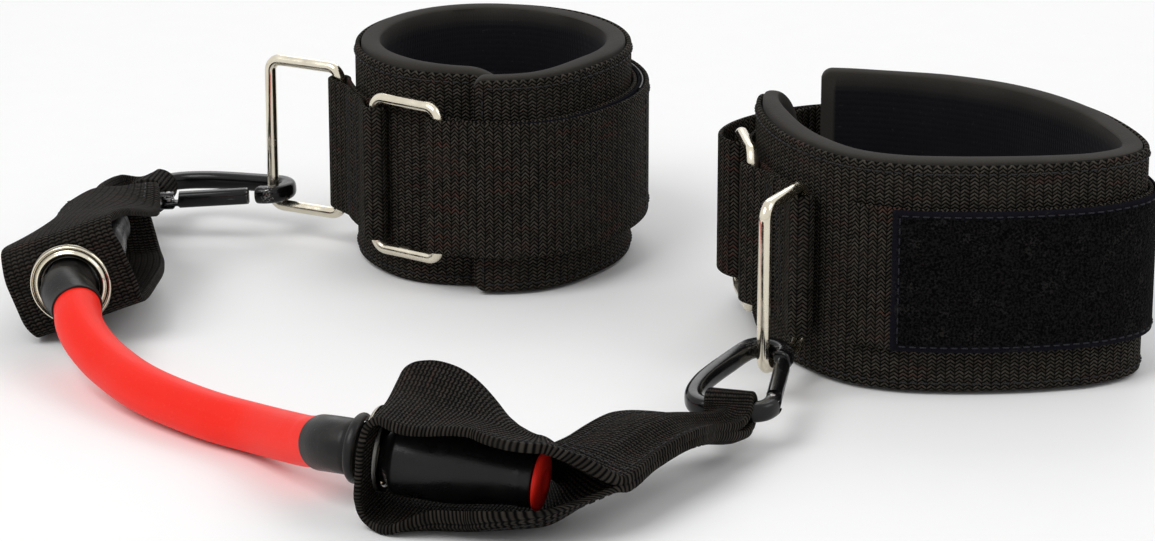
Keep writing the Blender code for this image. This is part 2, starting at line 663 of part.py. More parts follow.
def pocket_outline(side, length):
    """The belt's middle line in its own plane: along the spine, and up or down from it."""
    layer = (POCKET_THICK + LAYER_GAP) / 2
    loop = HOOK_THICKNESS / 2 + EYE_PLAY + POCKET_THICK / 2
    straight, closed = POCKET_STRAIGHT[side], POCKET_CLOSED[side]
    turn = math.radians(115.0)
    eye = arc((length, 0.0), loop, turn, 0.0, 7)
    halves = []
    for half in (POCKET_HIGH[side], POCKET_LOW[side]):
        corner = arc((POCKET_ROUND, half - POCKET_ROUND), POCKET_ROUND, math.pi, math.pi / 2, 6)
        run = np.linspace(POCKET_ROUND, length - 0.016, 22)[1:]
        taper = POCKET_TAPER[side] if half > BULB_OD / 2 + 0.003 else 0.0
        wall = half - taper * ease((run - POCKET_ROUND) / straight)
        wall = layer + (wall - layer) * (1.0 - ease((run - straight) / (closed - straight)))
        top = np.column_stack((run, wall))
        rise = bridge(top[-1], np.array((0.010, 0.0)), eye[0],
                      0.010 * np.array((math.sin(turn), -math.cos(turn))), 6)
        halves.append(np.vstack(((0.0, 0.0), (0.0, 0.5 * (half - POCKET_ROUND)), corner, top,
                                 rise[1:-1], eye)))
    upper, lower = halves
    return np.vstack((upper, lower[1:-1][::-1] * (1.0, -1.0)))


def make_pocket(side, bar, hook_way, parent):
    """Webbing folded round the bulb, sewn to itself, and round the snap hook's bar."""
    centre, way = tube_end_axis(side)
    straight = [centre + way * s for s in np.linspace(0.0, POCKET_STRAIGHT[side], 4)]
    points = np.vstack((straight, SPINE_POINTS[side], bar - 0.012 * hook_way, bar, bar + 0.012 * hook_way))
    spine = Track(spline(points))
    length = spine.s[np.argmin(np.linalg.norm(spine.points - bar, axis=1))]
    outline = pocket_outline(side, length)
    run, height = outline.T
    step = np.roll(outline, -1, 0) - np.roll(outline, 1, 0)
    out = unit(np.column_stack((-step[:, 1], step[:, 0])))
    print('belt', side, round(length, 4))
    straight, closed = POCKET_STRAIGHT[side], POCKET_CLOSED[side]
    narrow = ease((run - NARROW_FROM[side]) / NARROW_RUN[side])
    width = POCKET_WIDTH + (LOOP_WIDTH - POCKET_WIDTH) * narrow
    roll = POCKET_ROLL[side] * (1.0 - ease(run / (0.7 * length)))
    upper = ease(height / POCKET_HIGH[side])
    hump = POCKET_HUMP[side] * np.sin(math.pi * np.clip((run + 0.022) / 0.060, 0.0, 1.0)) * upper
    over = (height > 0.0) * (1.0 - ease((run - straight) / (closed - straight)))
    over = over * ease((run - HOOD_FROM[side]) / HOOD_RUN[side])
    hood = np.maximum(over, 1e-4)
    neck = 1.0 - POCKET_NECK[side] * over

    def place(offset, share):
        """Points at a share of the half width across and an offset square to the belt's middle line."""
        along, up = (outline + out * offset).T
        across = share * width / 2
        base = spine.point(along)
        ahead = spine.tangent(along)
        level = unit(np.column_stack((-ahead[:, 1], ahead[:, 0], 0 * ahead[:, 0])))
        upward = np.cross(ahead, level)
        if share > 0:
            bend = hood * across / np.maximum(height, 0.004)
            radius = np.maximum(height, 0.004) / hood + up - height
            across = radius * np.sin(bend)
            up = up - radius * (1.0 - np.cos(bend)) + hump * share
        else:
            across = across * neck
        lean = np.sin(roll)[:, None] * upward + np.cos(roll)[:, None] * level
        rise = np.cos(roll)[:, None] * upward - np.sin(roll)[:, None] * level
        return base + across[:, None] * lean + up[:, None] * rise

    shares = (-1.0, 0.0, 1 / 3, 2 / 3, 1.0)
    corners = [place(-POCKET_THICK / 2, k) for k in shares] + [place(POCKET_THICK / 2, k) for k in shares[::-1]]
    belt = solid(f"pocket_webbing_{side}", np.stack(corners, axis=1), STRAP, closed=True)
    radius = HOLE / 2 + GROMMET_WALL + GAP
    drill = Track(np.array([centre + s * way for s in (-0.01, 0.0, 0.01)]))
    hole = cutter(f"pocket_hole_{side}",
                  np.swapaxes(around(drill, [(s + 0.01, radius) for s in (-0.005, 0.005)], 28), 0, 1))
    cut(belt, hole)
    seat(belt, parent)
    hang(hole, parent)


def hook_frame_mesh():
    """The snap hook's body: a bar bent to a pear shape, its end split for the gate's knuckle."""
    body = spline(((0.0102, -0.0122), (0.0060, -0.0122), (0.0022, -0.0106), (0.0004, -HOOK_HALF + 0.0035),
                   (0.0, -0.0030), (0.0, 0.0035), (0.0006, HOOK_HALF - 0.0025), (0.0034, HOOK_HALF + 0.0012),
                   (0.0095, 0.0140), (0.0185, 0.0137), (0.0275, 0.0117), (0.0360, 0.0092)), 3)
    nose = arc((NOSE_AT, -0.0005), NOSE_RADIUS, math.radians(68.0), math.radians(-115.0), 11)
    flat = np.vstack((body, bridge(body[-1], np.array((0.010, -0.0028)), nose[0],
                                   np.array((0.0093, -0.0037)), 4)[1:-1], nose))
    path = np.column_stack((flat, np.zeros(len(flat))))
    up = np.broadcast_to((0.0, 0.0, 1.0), path.shape)
    rings = swept(path, up, HOOK_THICKNESS / 2, HOOK_BAR / 2, 10, 2.8)
    obj = solid("hook_frame", rings, BLACK, angle=50.0)
    x, y = PIN_AT
    box = np.array([[(u, v, w) for u, w in ((-0.0031, -SLOT / 2), (-0.0031, SLOT / 2),
                                            (0.0060, SLOT / 2), (0.0060, -SLOT / 2))]
                    for v in (-0.0060, 0.0060)]) + (x, y, 0.0)
    cut(obj, cutter("hook_slot", box))
    cut(obj, pin_drill())
    return applied(obj)


def pin_drill():
    a = np.linspace(0.0, 2 * math.pi, 12, endpoint=False)
    ring = np.column_stack((PIN_AT[0] + PIN_HOLE * np.cos(a), PIN_AT[1] + PIN_HOLE * np.sin(a)))
    rings = [np.column_stack((ring, np.full(12, z))) for z in (-0.006, 0.006)]
    return cutter("pin_drill", rings)


def applied(obj):
    """The mesh of an object with its cuts made; the object and its cutters are then removed."""
    bpy.context.view_layer.update()
    shape = obj.evaluated_get(bpy.context.evaluated_depsgraph_get())
    mesh = bpy.data.meshes.new_from_object(shape)
    tools = [m.object for m in obj.modifiers]
    for item in (obj, *tools):
        bpy.data.objects.remove(item)
    return mesh


def gate_mesh():
    """A flat bar with a thin round knuckle, along +X from its pin."""
    length = math.hypot(GATE_END - PIN_AT[0], GATE_DROP)
    half = GATE_WIDTH / 2
    low, thin = -SLOT / 2 + 0.0002, -SLOT / 2 + 0.0002 + KNUCKLE_THICK
    top = HOOK_THICKNESS / 2 - 0.0002
    stations = [(-half * math.cos(a), half * math.sin(a), low, thin)
                for a in np.radians((14.0, 40.0, 65.0, 90.0))]
    stations += [(0.0034, half, low, thin), (0.0040, half, -top, top), (0.0060, half, -top, top),
                 (length - 0.0020, half, -top, top), (length - 0.0004, half - 0.0005, -top, top),
                 (length, half - 0.0012, -top + 0.0006, top - 0.0006)]
    rings = [[(u, -w, a), (u, w, a), (u, w, b), (u, -w, b)] for u, w, a, b in stations]
    obj = solid("gate", rings, BLACK)
    drill = pin_drill()
    drill.location = (-PIN_AT[0], -PIN_AT[1], 0.0)
    cut(obj, drill)
    return applied(obj)


def spring_mesh():
    """A torsion spring of a few turns round the pin, with a short leg on the gate's side."""
    turns = np.linspace(0.0, SPRING_TURNS * 2 * math.pi, int(SPRING_TURNS * 14) + 1)
    rise = SPRING_PITCH * turns / (2 * math.pi)
    floor = -SLOT / 2 + 0.0002 + KNUCKLE_THICK + GAP + SPRING_WIRE / 2
    coil = np.column_stack((SPRING_RADIUS * np.cos(turns), SPRING_RADIUS * np.sin(turns), floor + rise))
    up = np.broadcast_to((0.0, 0.0, 1.0), coil.shape)
    rings = swept(coil, up, SPRING_WIRE / 2, SPRING_WIRE / 2, 6)
    obj = solid("spring", rings, STEEL)
    print("gate spring: least gap to itself", round((SPRING_PITCH - SPRING_WIRE) * 1000, 2), "mm")
    return applied(obj)


def pin_mesh():
    half = HOOK_THICKNESS / 2 - 0.0001
    a = np.linspace(0.0, 2 * math.pi, 12, endpoint=False)
    ring = np.column_stack((PIN_RADIUS * np.cos(a), PIN_RADIUS * np.sin(a)))
    rings = [np.column_stack((ring * k, np.full(12, z)))
             for k, z in ((0.8, -half), (1.0, -half + 0.0002), (1.0, half - 0.0002), (0.8, half))]
    return applied(solid("pin", rings, STEEL))


def hook_way_of(side, load_end):
    """The hook's direction and the place of its strap bar, from the ring's bar that it holds."""
    seat_z = SEAT_Z
    drop = seat_z - STRAP_BAR_Z[side]
    flat = math.sqrt(RING_SEAT**2 - drop**2)
    yaw = HOOK_YAW[side]
    bar = np.array((load_end[0] - flat * math.cos(yaw), load_end[1] - flat * math.sin(yaw),
                    STRAP_BAR_Z[side]))
    return unit(np.array((*load_end, seat_z)) - bar), bar


def free_tube(tracks):
    """The tube's free stretch, from one sleeve's mouth to the other's."""
    first, last = tracks["left"], tracks["right"]
    inside = SLEEVE_MOUTH - GAP
    start = [first.point(inside)[0] - first.tangent(0.0)[0] * s for s in (0.0, 0.006, 0.014)]
    end = [last.point(inside)[0] - last.tangent(0.0)[0] * s for s in (0.016, 0.008, 0.0)]
    dense = Track(spline((*start, *TUBE_POINTS, *end)))
    print("free tube length", round(dense.length, 4))
    straight = 0.005
    inner = np.linspace(straight, dense.length - straight, TUBE_RINGS)
    points = dense.point(np.concatenate(((0.0,), inner, (dense.length,))))
    curve = bpy.data.curves.new("resistance_tube", "CURVE")
    curve.dimensions = "3D"
    curve.bevel_depth = TUBE_OD / 2
    curve.bevel_resolution = 4
    curve.use_fill_caps = True
    line = curve.splines.new("POLY")
    line.points.add(len(points) - 1)
    line.points.foreach_set("co", np.column_stack((points, np.ones(len(points)))).ravel())
    curve.materials.append(LATEX)
    obj = bpy.data.objects.new("resistance_tube", curve)
    bpy.context.collection.objects.link(obj)
    hang(obj, ROOT)


GATE_DROP = 0.0037        # how much nearer the middle the gate's end is than its pin
SEAT_Z = CUFF_HEIGHT / 2 - RING_HEIGHT / 2 + WIRE / 2 + GAP + HOOK_THICKNESS / 2

clear_scene()
CUTTER = finish("cutter", (0.8, 0.8, 0.8), 0.5)
FOAM = finish("foam_lining", (0.045, 0.042, 0.040), 0.9)
WEBBING = finish("band_webbing", (0.028, 0.026, 0.022), 0.8)
STRAP = finish("strap_webbing", (0.024, 0.022, 0.019), 0.75)
VELOUR = finish("loop_pile", (0.012, 0.012, 0.014), 0.95)
HOOKS = finish("hook_tape", (0.015, 0.015, 0.016), 0.6)
NICKEL = finish("nickel_wire", (0.78, 0.75, 0.70), 0.15, 1.0)
STEEL = finish("pin_steel", (0.35, 0.35, 0.36), 0.3, 1.0)
BLACK = finish("black_enamel", (0.012, 0.012, 0.014), 0.25)
RUBBER = finish("black_rubber", (0.014, 0.014, 0.015), 0.45)
LATEX = finish("red_latex", (0.80, 0.030, 0.018), 0.42)
PLUG = finish("plug_plastic", (0.10, 0.10, 0.11), 0.5)

ROOT = empty("tube_root", (0.0, 0.0, 0.0))
meshes = {"frame": hook_frame_mesh(), "gate": gate_mesh(), "spring": spring_mesh(), "pin": pin_mesh()}
tracks = {}
for side, band in (("left", round_track()), ("right", oval_track())):
    print(side, "band length", round(band.length, 4))
    cuff = make_cuff(side, band)
    tracks[side] = make_tube_end(side)
    centre, way = tube_end_axis(side)
    swivel = empty(f"swivel_joint_{side}", centre, ROOT)
    make_grommet(side, swivel)
    hook_way, bar = hook_way_of(side, cuff["end"])
    make_pocket(side, bar, hook_way, swivel)

    hook_joint = empty(f"hook_joint_{side}", bar, swivel)
    frame = axes(bar, hook_way, (0.0, 0.0, 1.0))
    pin = frame @ Matrix.Translation((*PIN_AT, 0.0))
    lean = math.atan2(GATE_DROP, GATE_END - PIN_AT[0])
    gate_joint = empty(f"gate_joint_{side}", pin.translation, hook_joint)
    copy_of(f"snap_frame_{side}", meshes["frame"], frame, hook_joint)
    copy_of(f"gate_pin_{side}", meshes["pin"], pin, hook_joint)
    copy_of(f"snap_gate_{side}", meshes["gate"], pin @ Matrix.Rotation(lean, 4, "Z"), gate_joint)
    copy_of(f"gate_spring_{side}", meshes["spring"], pin @ Matrix.Rotation(lean, 4, "Z"), gate_joint)
    hang(cuff["ring"], hook_joint)
free_tube(tracks)
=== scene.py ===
"""Dressing of the lateral resistance band: tube, sleeves, pockets, snap hooks, rings and padded cuffs."""
import math
from types import SimpleNamespace

import bmesh
import bpy
import numpy as np
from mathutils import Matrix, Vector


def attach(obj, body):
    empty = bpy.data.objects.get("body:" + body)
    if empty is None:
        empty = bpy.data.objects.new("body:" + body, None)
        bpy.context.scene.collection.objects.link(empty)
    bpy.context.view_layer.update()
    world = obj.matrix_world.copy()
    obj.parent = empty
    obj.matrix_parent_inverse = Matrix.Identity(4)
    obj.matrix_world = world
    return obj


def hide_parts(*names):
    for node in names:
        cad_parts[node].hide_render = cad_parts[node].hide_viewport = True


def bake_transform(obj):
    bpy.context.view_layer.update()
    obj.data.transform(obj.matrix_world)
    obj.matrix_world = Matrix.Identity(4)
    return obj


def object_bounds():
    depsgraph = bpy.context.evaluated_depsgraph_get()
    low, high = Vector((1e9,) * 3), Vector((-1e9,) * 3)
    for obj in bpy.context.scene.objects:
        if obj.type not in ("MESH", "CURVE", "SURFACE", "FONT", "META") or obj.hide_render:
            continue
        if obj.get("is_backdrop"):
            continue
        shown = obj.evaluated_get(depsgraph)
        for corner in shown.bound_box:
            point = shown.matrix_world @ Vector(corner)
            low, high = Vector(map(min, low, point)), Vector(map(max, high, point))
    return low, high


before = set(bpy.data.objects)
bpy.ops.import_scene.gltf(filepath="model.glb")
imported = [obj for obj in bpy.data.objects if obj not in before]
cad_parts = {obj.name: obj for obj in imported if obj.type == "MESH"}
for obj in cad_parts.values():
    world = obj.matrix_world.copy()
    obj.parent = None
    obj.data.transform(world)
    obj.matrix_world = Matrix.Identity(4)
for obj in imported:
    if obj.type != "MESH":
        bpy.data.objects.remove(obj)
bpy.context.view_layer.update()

# The photograph was taken from the front with a long lens, looking down at the floor by 18 degrees.
camera = bpy.data.objects.new("camera", bpy.data.cameras.new("camera"))
bpy.context.scene.collection.objects.link(camera)
camera.location = (0.0025, -1.2821, 0.447)
camera.rotation_euler = (math.radians(72.0), 0.0, 0.0)
camera.data.sensor_width = 36.0
camera.data.lens = camera.data.sensor_width * 4000 / 1155  # 4000 pixels over the photograph's width of 1155
bpy.context.scene.camera = camera


# The resistance tube is hollow natural rubber, built up in many thin coats and dyed right through.
# Each end goes into a black sleeve; between the two it sags from one pocket down to the floor and along it.
TUBE_OD = 0.0160
TUBE_SIDES = 56
SLEEVE_MOUTH = 0.0030
MOUTH_STRAIGHT = 0.0035
SLEEVE_STRAIGHT = 0.0055
BULB_START = 0.027
BULB_LENGTH = 0.046
GAP = 0.0003
GROMMET_AT = {"left": (-0.1695, 0.0099, 0.0226), "right": (-0.0575, -0.1431, 0.0190)}
AXIS_YAW = {"left": math.radians(86.0), "right": math.radians(-16.0)}
AXIS_FALL = {"left": 0.0, "right": math.radians(4.5)}
MOUTH_WAY = {"left": None, "right": (math.radians(-57.0), math.radians(14.0))}
SLEEVE_OUT = {"left": 0.0080, "right": 0.0230}
TUBE_POINTS = ((-0.1657, -0.0085, 0.0205), (-0.1638, -0.0184, 0.0180), (-0.1606, -0.0266, 0.0155),
               (-0.1549, -0.0365, 0.0128), (-0.1491, -0.0447, 0.0110), (-0.1411, -0.0560, 0.0098),
               (-0.1306, -0.0677, 0.0090), (-0.1148, -0.0826, 0.0086), (-0.0988, -0.0957, 0.0090))


def unit(v):
    v = np.asarray(v, float)
    return v / np.linalg.norm(v, axis=-1, keepdims=True)


def ease(x):
    """0 below 0, 1 above 1, and 3x^2 - 2x^3 between."""
    x = np.clip(x, 0.0, 1.0)
    return x * x * (3.0 - 2.0 * x)


def through(points, per_span=20):
    """A Catmull-Rom curve: cubics whose slope at a point is half the step between its two neighbours."""
    p = np.asarray(points, float)
    p = np.vstack((2 * p[0] - p[1], p, 2 * p[-1] - p[-2]))
    a, b, c, d = (p[k:len(p) - 3 + k, None] for k in range(4))
    u = np.linspace(0.0, 1.0, per_span, endpoint=False)[None, :, None]
    spans = 0.5 * (2 * b + (c - a) * u + (2 * a - 5 * b + 4 * c - d) * u**2 + (3 * b - a - 3 * c + d) * u**3)
    return np.vstack((spans.reshape(-1, p.shape[1]), p[-2][None]))


class Course:
    """A line that a piece follows, by its arc length s. Beyond its ends it goes on straight."""

    def __init__(self, points, outward=1.0):
        self.points = np.asarray(points, float)
        steps = np.linalg.norm(np.diff(self.points, axis=0), axis=1)
        self.s = np.append(0.0, np.cumsum(steps))
        self.length = self.s[-1]
        self.outward = outward

    def at(self, s):
        s = np.atleast_1d(s)
        found = np.column_stack([np.interp(s, self.s, c) for c in self.points.T])
        first = unit(self.points[1] - self.points[0])
        last = unit(self.points[-1] - self.points[-2])
        return found + np.minimum(s, 0.0)[:, None] * first + np.maximum(s - self.length, 0.0)[:, None] * last

    def ahead(self, s, step=0.0008):
        """The direction at s, from a point a step before to one a step after."""
        s = np.clip(np.atleast_1d(s), step, self.length - step)
        return unit(self.at(s + step) - self.at(s - step))

    def aside(self, s):
        """In plan, the direction square to the line, on its outer side."""
        t = self.ahead(s)
        return self.outward * np.column_stack((t[:, 1], -t[:, 0]))

    def raised(self, s, height):
        return self.at(s) + self.aside(s) * np.reshape(height, (-1, 1))


def skin(name, grid, cloth=None, loop=False, ring=True, masks=()):
    """A mesh over a grid of points: rows follow the piece and columns go round it. cloth is the grid of
    coordinates in metres, one column wider where the columns close. Open rows are capped."""
    rows, cols = grid.shape[:2]
    i, j = np.meshgrid(np.arange(rows - (not loop)), np.arange(cols - (not ring)), indexing="ij")
    i2, j2 = (i + 1) % rows, (j + 1) % cols
    faces = np.stack((i * cols + j, i * cols + j2, i2 * cols + j2, i2 * cols + j), axis=-1)
    faces = faces.reshape(-1, 4).tolist()
    if ring and not loop:
        faces += [list(range(cols))[::-1], [(rows - 1) * cols + k for k in range(cols)]]
    mesh = bpy.data.meshes.new(name)
    mesh.from_pydata(grid.reshape(-1, 3).tolist(), [], faces)
    if cloth is not None:
        cloth = np.broadcast_to(cloth, (rows + loop, cols + ring, 2))
        corners = np.stack((cloth[i, j], cloth[i, j + 1], cloth[i + 1, j + 1], cloth[i + 1, j]), axis=-2)
        corners = corners.reshape(-1, 2)
        if ring and not loop:
            corners = np.vstack((corners, cloth[0, :cols][::-1], cloth[rows - 1, :cols]))
        mesh.uv_layers.new(name="cloth").data.foreach_set("uv", corners.astype(np.float32).ravel())
    for mask, value in dict(masks).items():
        value = np.broadcast_to(value, (rows, cols)).astype(np.float32)
        mesh.attributes.new(mask, "FLOAT", "POINT").data.foreach_set("value", value.ravel())
    return shown(name, mesh)


def shown(name, mesh, crease=40.0):
    """The mesh as an object: doubles merged, faces outwards, smooth but for sharp edges."""
    work = bmesh.new()
    work.from_mesh(mesh)
    bmesh.ops.remove_doubles(work, verts=work.verts, dist=1e-6)
    bmesh.ops.recalc_face_normals(work, faces=work.faces)
    work.to_mesh(mesh)
    work.free()
    mesh.shade_smooth()
    mesh.set_sharp_from_angle(angle=math.radians(crease))
    made = bpy.data.objects.new(name, mesh)
    bpy.context.scene.collection.objects.link(made)
    return made


def put(tree, kind, sockets=(), **settings):
    """A shader node, with its settings, and its sockets set to plain values or joined to other sockets."""
    made = tree.nodes.new("ShaderNode" + kind)
    for key, value in settings.items():
        setattr(made, key, value)
    for key, value in dict(sockets).items():
        if isinstance(value, bpy.types.NodeSocket):
            tree.links.new(value, made.inputs[key])
        else:
            made.inputs[key].default_value = value
    return made


def sum_of(tree, operation, a, b=0.0, c=0.0):
    return put(tree, "Math", {0: a, 1: b, 2: c}, operation=operation).outputs[0]


def noise_of(tree, vector, scale, detail=2.0):
    return put(tree, "TexNoise", {"Vector": vector, "Scale": scale, "Detail": detail}).outputs[0]


def stretched(tree, vector, by):
    return put(tree, "VectorMath", {0: vector, 1: by}, operation="MULTIPLY").outputs[0]


def ramp(tree, value, start=0.0, stop=1.0, low=0.0, high=1.0, **settings):
    """The value's way from start to stop as low to high, and held beyond."""
    return put(tree, "MapRange", {0: value, 1: start, 2: stop, 3: low, 4: high}, **settings).outputs[0]


def between(tree, share, low, high):
    """A mix of two colours, plain or from sockets, by a share from 0 to 1."""
    low, high = (x if isinstance(x, bpy.types.NodeSocket) else (*x, 1.0) for x in (low, high))
    return put(tree, "Mix", {0: share, 6: low, 7: high}, data_type="RGBA").outputs[2]


def cloth_of(tree):
    """The cloth coordinates, in metres."""
    return put(tree, "UVMap", uv_map="cloth").outputs[0]


def place_of(tree):
    return put(tree, "TexCoord").outputs["Object"]


def finish_of(name, roughness, metallic=0.0, **plain):
    """A Principled material. The plain values go on the shader's own sockets."""
    made = bpy.data.materials.new(name)
    made.use_nodes = True
    shader = made.node_tree.nodes["Principled BSDF"]
    for socket, value in dict(plain, Roughness=roughness, Metallic=metallic).items():
        shader.inputs[socket.replace("_", " ")].default_value = value
    return made, made.node_tree, shader


def feed(shader, **joined):
    """The shader's sockets joined to others, with _ for a space in their names."""
    for socket, value in joined.items():
        shader.id_data.links.new(value, shader.inputs[socket.replace("_", " ")])


def group_of(name, inputs, outputs):
    """An empty node group with named inputs and outputs. Returns its tree, its inputs and its output node."""
    tree = bpy.data.node_groups.new(name, "ShaderNodeTree")
    for socket, kind, value in inputs:
        made = tree.interface.new_socket(socket, in_out="INPUT", socket_type="NodeSocket" + kind)
        if value is not None:
            made.default_value = value
    for socket in outputs:
        tree.interface.new_socket(socket, in_out="OUTPUT", socket_type="NodeSocketFloat")
    return tree, tree.nodes.new("NodeGroupInput").outputs, tree.nodes.new("NodeGroupOutput")


def handled_group():
    """Marks of use on a smooth surface: broad smears, fine grain and rare scratches, each from 0 to 1.
    Smears are low noise, grain is high noise, scratches are noise drawn out twenty times along one way."""
    tree, given, out = group_of("handled surface", (("Vector", "Vector", None), ("Size", "Float", 0.01)),
                                ("Smear", "Grain", "Scratch"))
    scale = sum_of(tree, "DIVIDE", 1.0, given["Size"])
    drawn = stretched(tree, given["Vector"], (1.0, 20.0, 8.0))
    thin = noise_of(tree, drawn, sum_of(tree, "MULTIPLY", scale, 2.0))
    tree.links.new(noise_of(tree, given["Vector"], scale, 3.0), out.inputs["Smear"])
    tree.links.new(noise_of(tree, given["Vector"], sum_of(tree, "MULTIPLY", scale, 14.0)), out.inputs["Grain"])
    tree.links.new(ramp(tree, thin, 0.68, 0.74), out.inputs["Scratch"])
    return tree


def grouped(tree, group, **sockets):
    """A node group placed in a material with its own values. Returns its outputs."""
    return put(tree, "Group", sockets, node_tree=group).outputs


HANDLED = handled_group()


def handled(tree, size):
    """The handled surface in a material, by the place on the object."""
    return grouped(tree, HANDLED, Vector=place_of(tree), Size=size)


def bumped(tree, shader, height, distance, strength=1.0):
    """Height as relief on the shader's normal; distance is its full depth in metres."""
    relief = put(tree, "Bump", {"Height": height, "Distance": distance, "Strength": strength})
    tree.links.new(relief.outputs[0], shader.inputs["Normal"])


def heading(yaw, rise):
    return np.array((math.cos(yaw) * math.cos(rise), math.sin(yaw) * math.cos(rise), math.sin(rise)))


def end_axis(side):
    """The grommet's middle, and the way through its bore into the pocket."""
    return np.array(GROMMET_AT[side]), heading(AXIS_YAW[side], -AXIS_FALL[side])


def sleeve_course(side):
    """The middle of a tube end: straight at the mouth, then an arc, straight from the grommet on."""
    centre, way = end_axis(side)
    out = SLEEVE_OUT[side]
    inside = centre + np.linspace(0.0, BULB_START + BULB_LENGTH, 12)[:, None] * way
    if MOUTH_WAY[side] is None:
        return Course(np.vstack((centre - out * way, inside)))
    mouth_way = heading(*MOUTH_WAY[side])
    bend = math.acos(mouth_way @ way)
    aside = (math.cos(bend) * way - mouth_way) / math.sin(bend)
    radius = (out - SLEEVE_STRAIGHT - MOUTH_STRAIGHT) / bend
    turn = np.linspace(bend, 0.0, 60)[:, None]
    root = centre - SLEEVE_STRAIGHT * way
    outside = root - radius * np.sin(turn) * way + radius * (1.0 - np.cos(turn)) * aside
    return Course(np.vstack((outside[0] - MOUTH_STRAIGHT * mouth_way, outside, inside)))


def around(count):
    """Even angles once round."""
    return np.arange(count) * 2 * math.pi / count


def arc(centre, radius, a):
    """Points on a circle at the angles a, or on a spiral where each has its own radius."""
    return np.asarray(centre) + np.asarray(radius)[..., None] * np.column_stack((np.cos(a), np.sin(a)))


def turned_about(course, s, radius, sides, step=0.0008):
    """Rings of points round a line: at each place s, a circle of that radius square to the line."""
    base, way = course.at(s), course.ahead(s, step)
    up = unit(np.array((0.0, 0.0, 1.0)) - way * way[:, 2:])
    level = np.cross(way, up)
    a = around(sides)[None, :, None]
    radius = np.reshape(radius, (-1, 1, 1))
    return base[:, None] + radius * (np.cos(a) * up[:, None] + np.sin(a) * level[:, None])


def paired(u, v):
    """Cloth coordinates from places along the rows and places across them, each spread over the grid."""
    return np.stack(np.broadcast_arrays(u, v), axis=-1)


def round_cloth(s, radius, sides):
    """Coordinates in metres on a round piece: along it, and round it."""
    return paired(np.reshape(s, (-1, 1)), np.linspace(0.0, 2 * math.pi * radius, sides + 1))


def latex_material():
    """Dyed rubber: red right through, a little paler where it is chalked and deeper in smears, with fine
    lengthwise draw lines; the height is noise drawn out along the tube."""
    made, tree, shader = finish_of("red_latex_satin", 0.42, Subsurface_Weight=0.04,
                                   Subsurface_Radius=(0.004, 0.001, 0.0007), Specular_IOR_Level=0.12,
                                   Coat_Weight=0.03, Coat_Roughness=0.30)
    use = handled(tree, 0.018)
    lines = noise_of(tree, stretched(tree, cloth_of(tree), (60.0, 1500.0, 1.0)), 1.0)
    dust = ramp(tree, use["Grain"], 0.60, 0.78, 0.0, 0.18)
    body = between(tree, use["Smear"], (0.86, 0.022, 0.012), (0.95, 0.030, 0.018))
    feed(shader, Base_Color=between(tree, dust, body, (0.95, 0.12, 0.09)),
         Roughness=ramp(tree, use["Smear"], 0.3, 0.7, 0.36, 0.50))
    bumped(tree, shader, sum_of(tree, "MULTIPLY_ADD", use["Grain"], 0.35, lines), 0.00010, 0.6)
    return made


LATEX = latex_material()
ends = {side: sleeve_course(side) for side in ("left", "right")}
inside = SLEEVE_MOUTH - GAP
first, last = ends["left"], ends["right"]
start = [first.at(inside)[0] - first.ahead(0.0)[0] * s for s in (0.0, 0.004)]
stop = [last.at(inside)[0] - last.ahead(0.0)[0] * s for s in (0.016, 0.008, 0.0)]
run_of_tube = Course(through((*start, *TUBE_POINTS, *stop), 24))
places = np.linspace(0.0, run_of_tube.length, 150)
tube = skin("red_tube", turned_about(run_of_tube, places, TUBE_OD / 2, TUBE_SIDES),
            round_cloth(places, TUBE_OD / 2, TUBE_SIDES))
tube.data.materials.append(LATEX)
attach(tube, "tube")
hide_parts("resistance_tube")


# Each tube end is stretched over a plastic plug and drawn into a moulded black rubber sleeve, which swells
# into a bulb too big for the grommet. The tube's cut end stands out of it; a rubber ring sits in a groove.
TUBE_END_OD = 0.0140
TUBE_BORE = 0.0080
SLEEVE_WALL = 0.0008
SLEEVE_LIP = 0.0005
SLEEVE_LEAD = {"left": 0.013, "right": 0.0}
BULB_OD = 0.0240
BULB_RISE = 0.0045
BULB_TAPER_AT = 0.015
BULB_TAPER = 0.028
TAIL_OD = 0.0175
TAIL_BEAD = 0.0002
TUBE_STUB = 0.0025
FLARE = {"left": 0.0074, "right": 0.0094}
BUMPER_AT = 0.0165
BUMPER_WIRE = 0.0026
MOUTH_ROUND = 0.0003
END_ROUND_WIDE = 0.0008
END_ROUND_DEEP = 0.0006
LIP_OF_CUT = ((0.0004, -0.0006), (0.0007, -0.0001), (0.0011, 0.0), (0.0016, -0.0002), (0.0021, -0.0009))


def mask_of(tree, name):
    """A mask that skin put on the mesh, or 0 where the mesh has none."""
    return put(tree, "Attribute", attribute_name=name).outputs["Fac"]


def rubber_material():
    """Moulded rubber: near black, semi-gloss, greyer and duller where chalk dust clings, finely pebbled.
    The mask from the mesh marks the bulb inside the pocket, where the dust is taken off as painted shade and
    the rubber is a little glossier."""
    made, tree, shader = finish_of("black_rubber_moulded", 0.34, Specular_IOR_Level=0.24)
    use, pocket_shade = handled(tree, 0.010), mask_of(tree, "pocket_shade")
    # Inside the pocket the grey dust is cut to 15 %, as painted shade
    dust = sum_of(tree, "MULTIPLY", ramp(tree, use["Smear"], 0.48, 0.72), ramp(tree, pocket_shade, low=1.0, high=0.15))
    rough = ramp(tree, use["Smear"], 0.35, 0.70, 0.24, 0.50)
    feed(shader, Base_Color=between(tree, dust, (0.0055, 0.0052, 0.0052), (0.021, 0.0185, 0.0165)),
         Roughness=sum_of(tree, "MULTIPLY_ADD", pocket_shade, -0.02, rough))
    peel = sum_of(tree, "ADD", use["Grain"], sum_of(tree, "MULTIPLY", use["Scratch"], -0.6))
    bumped(tree, shader, peel, 0.00012, 0.5)
    return made


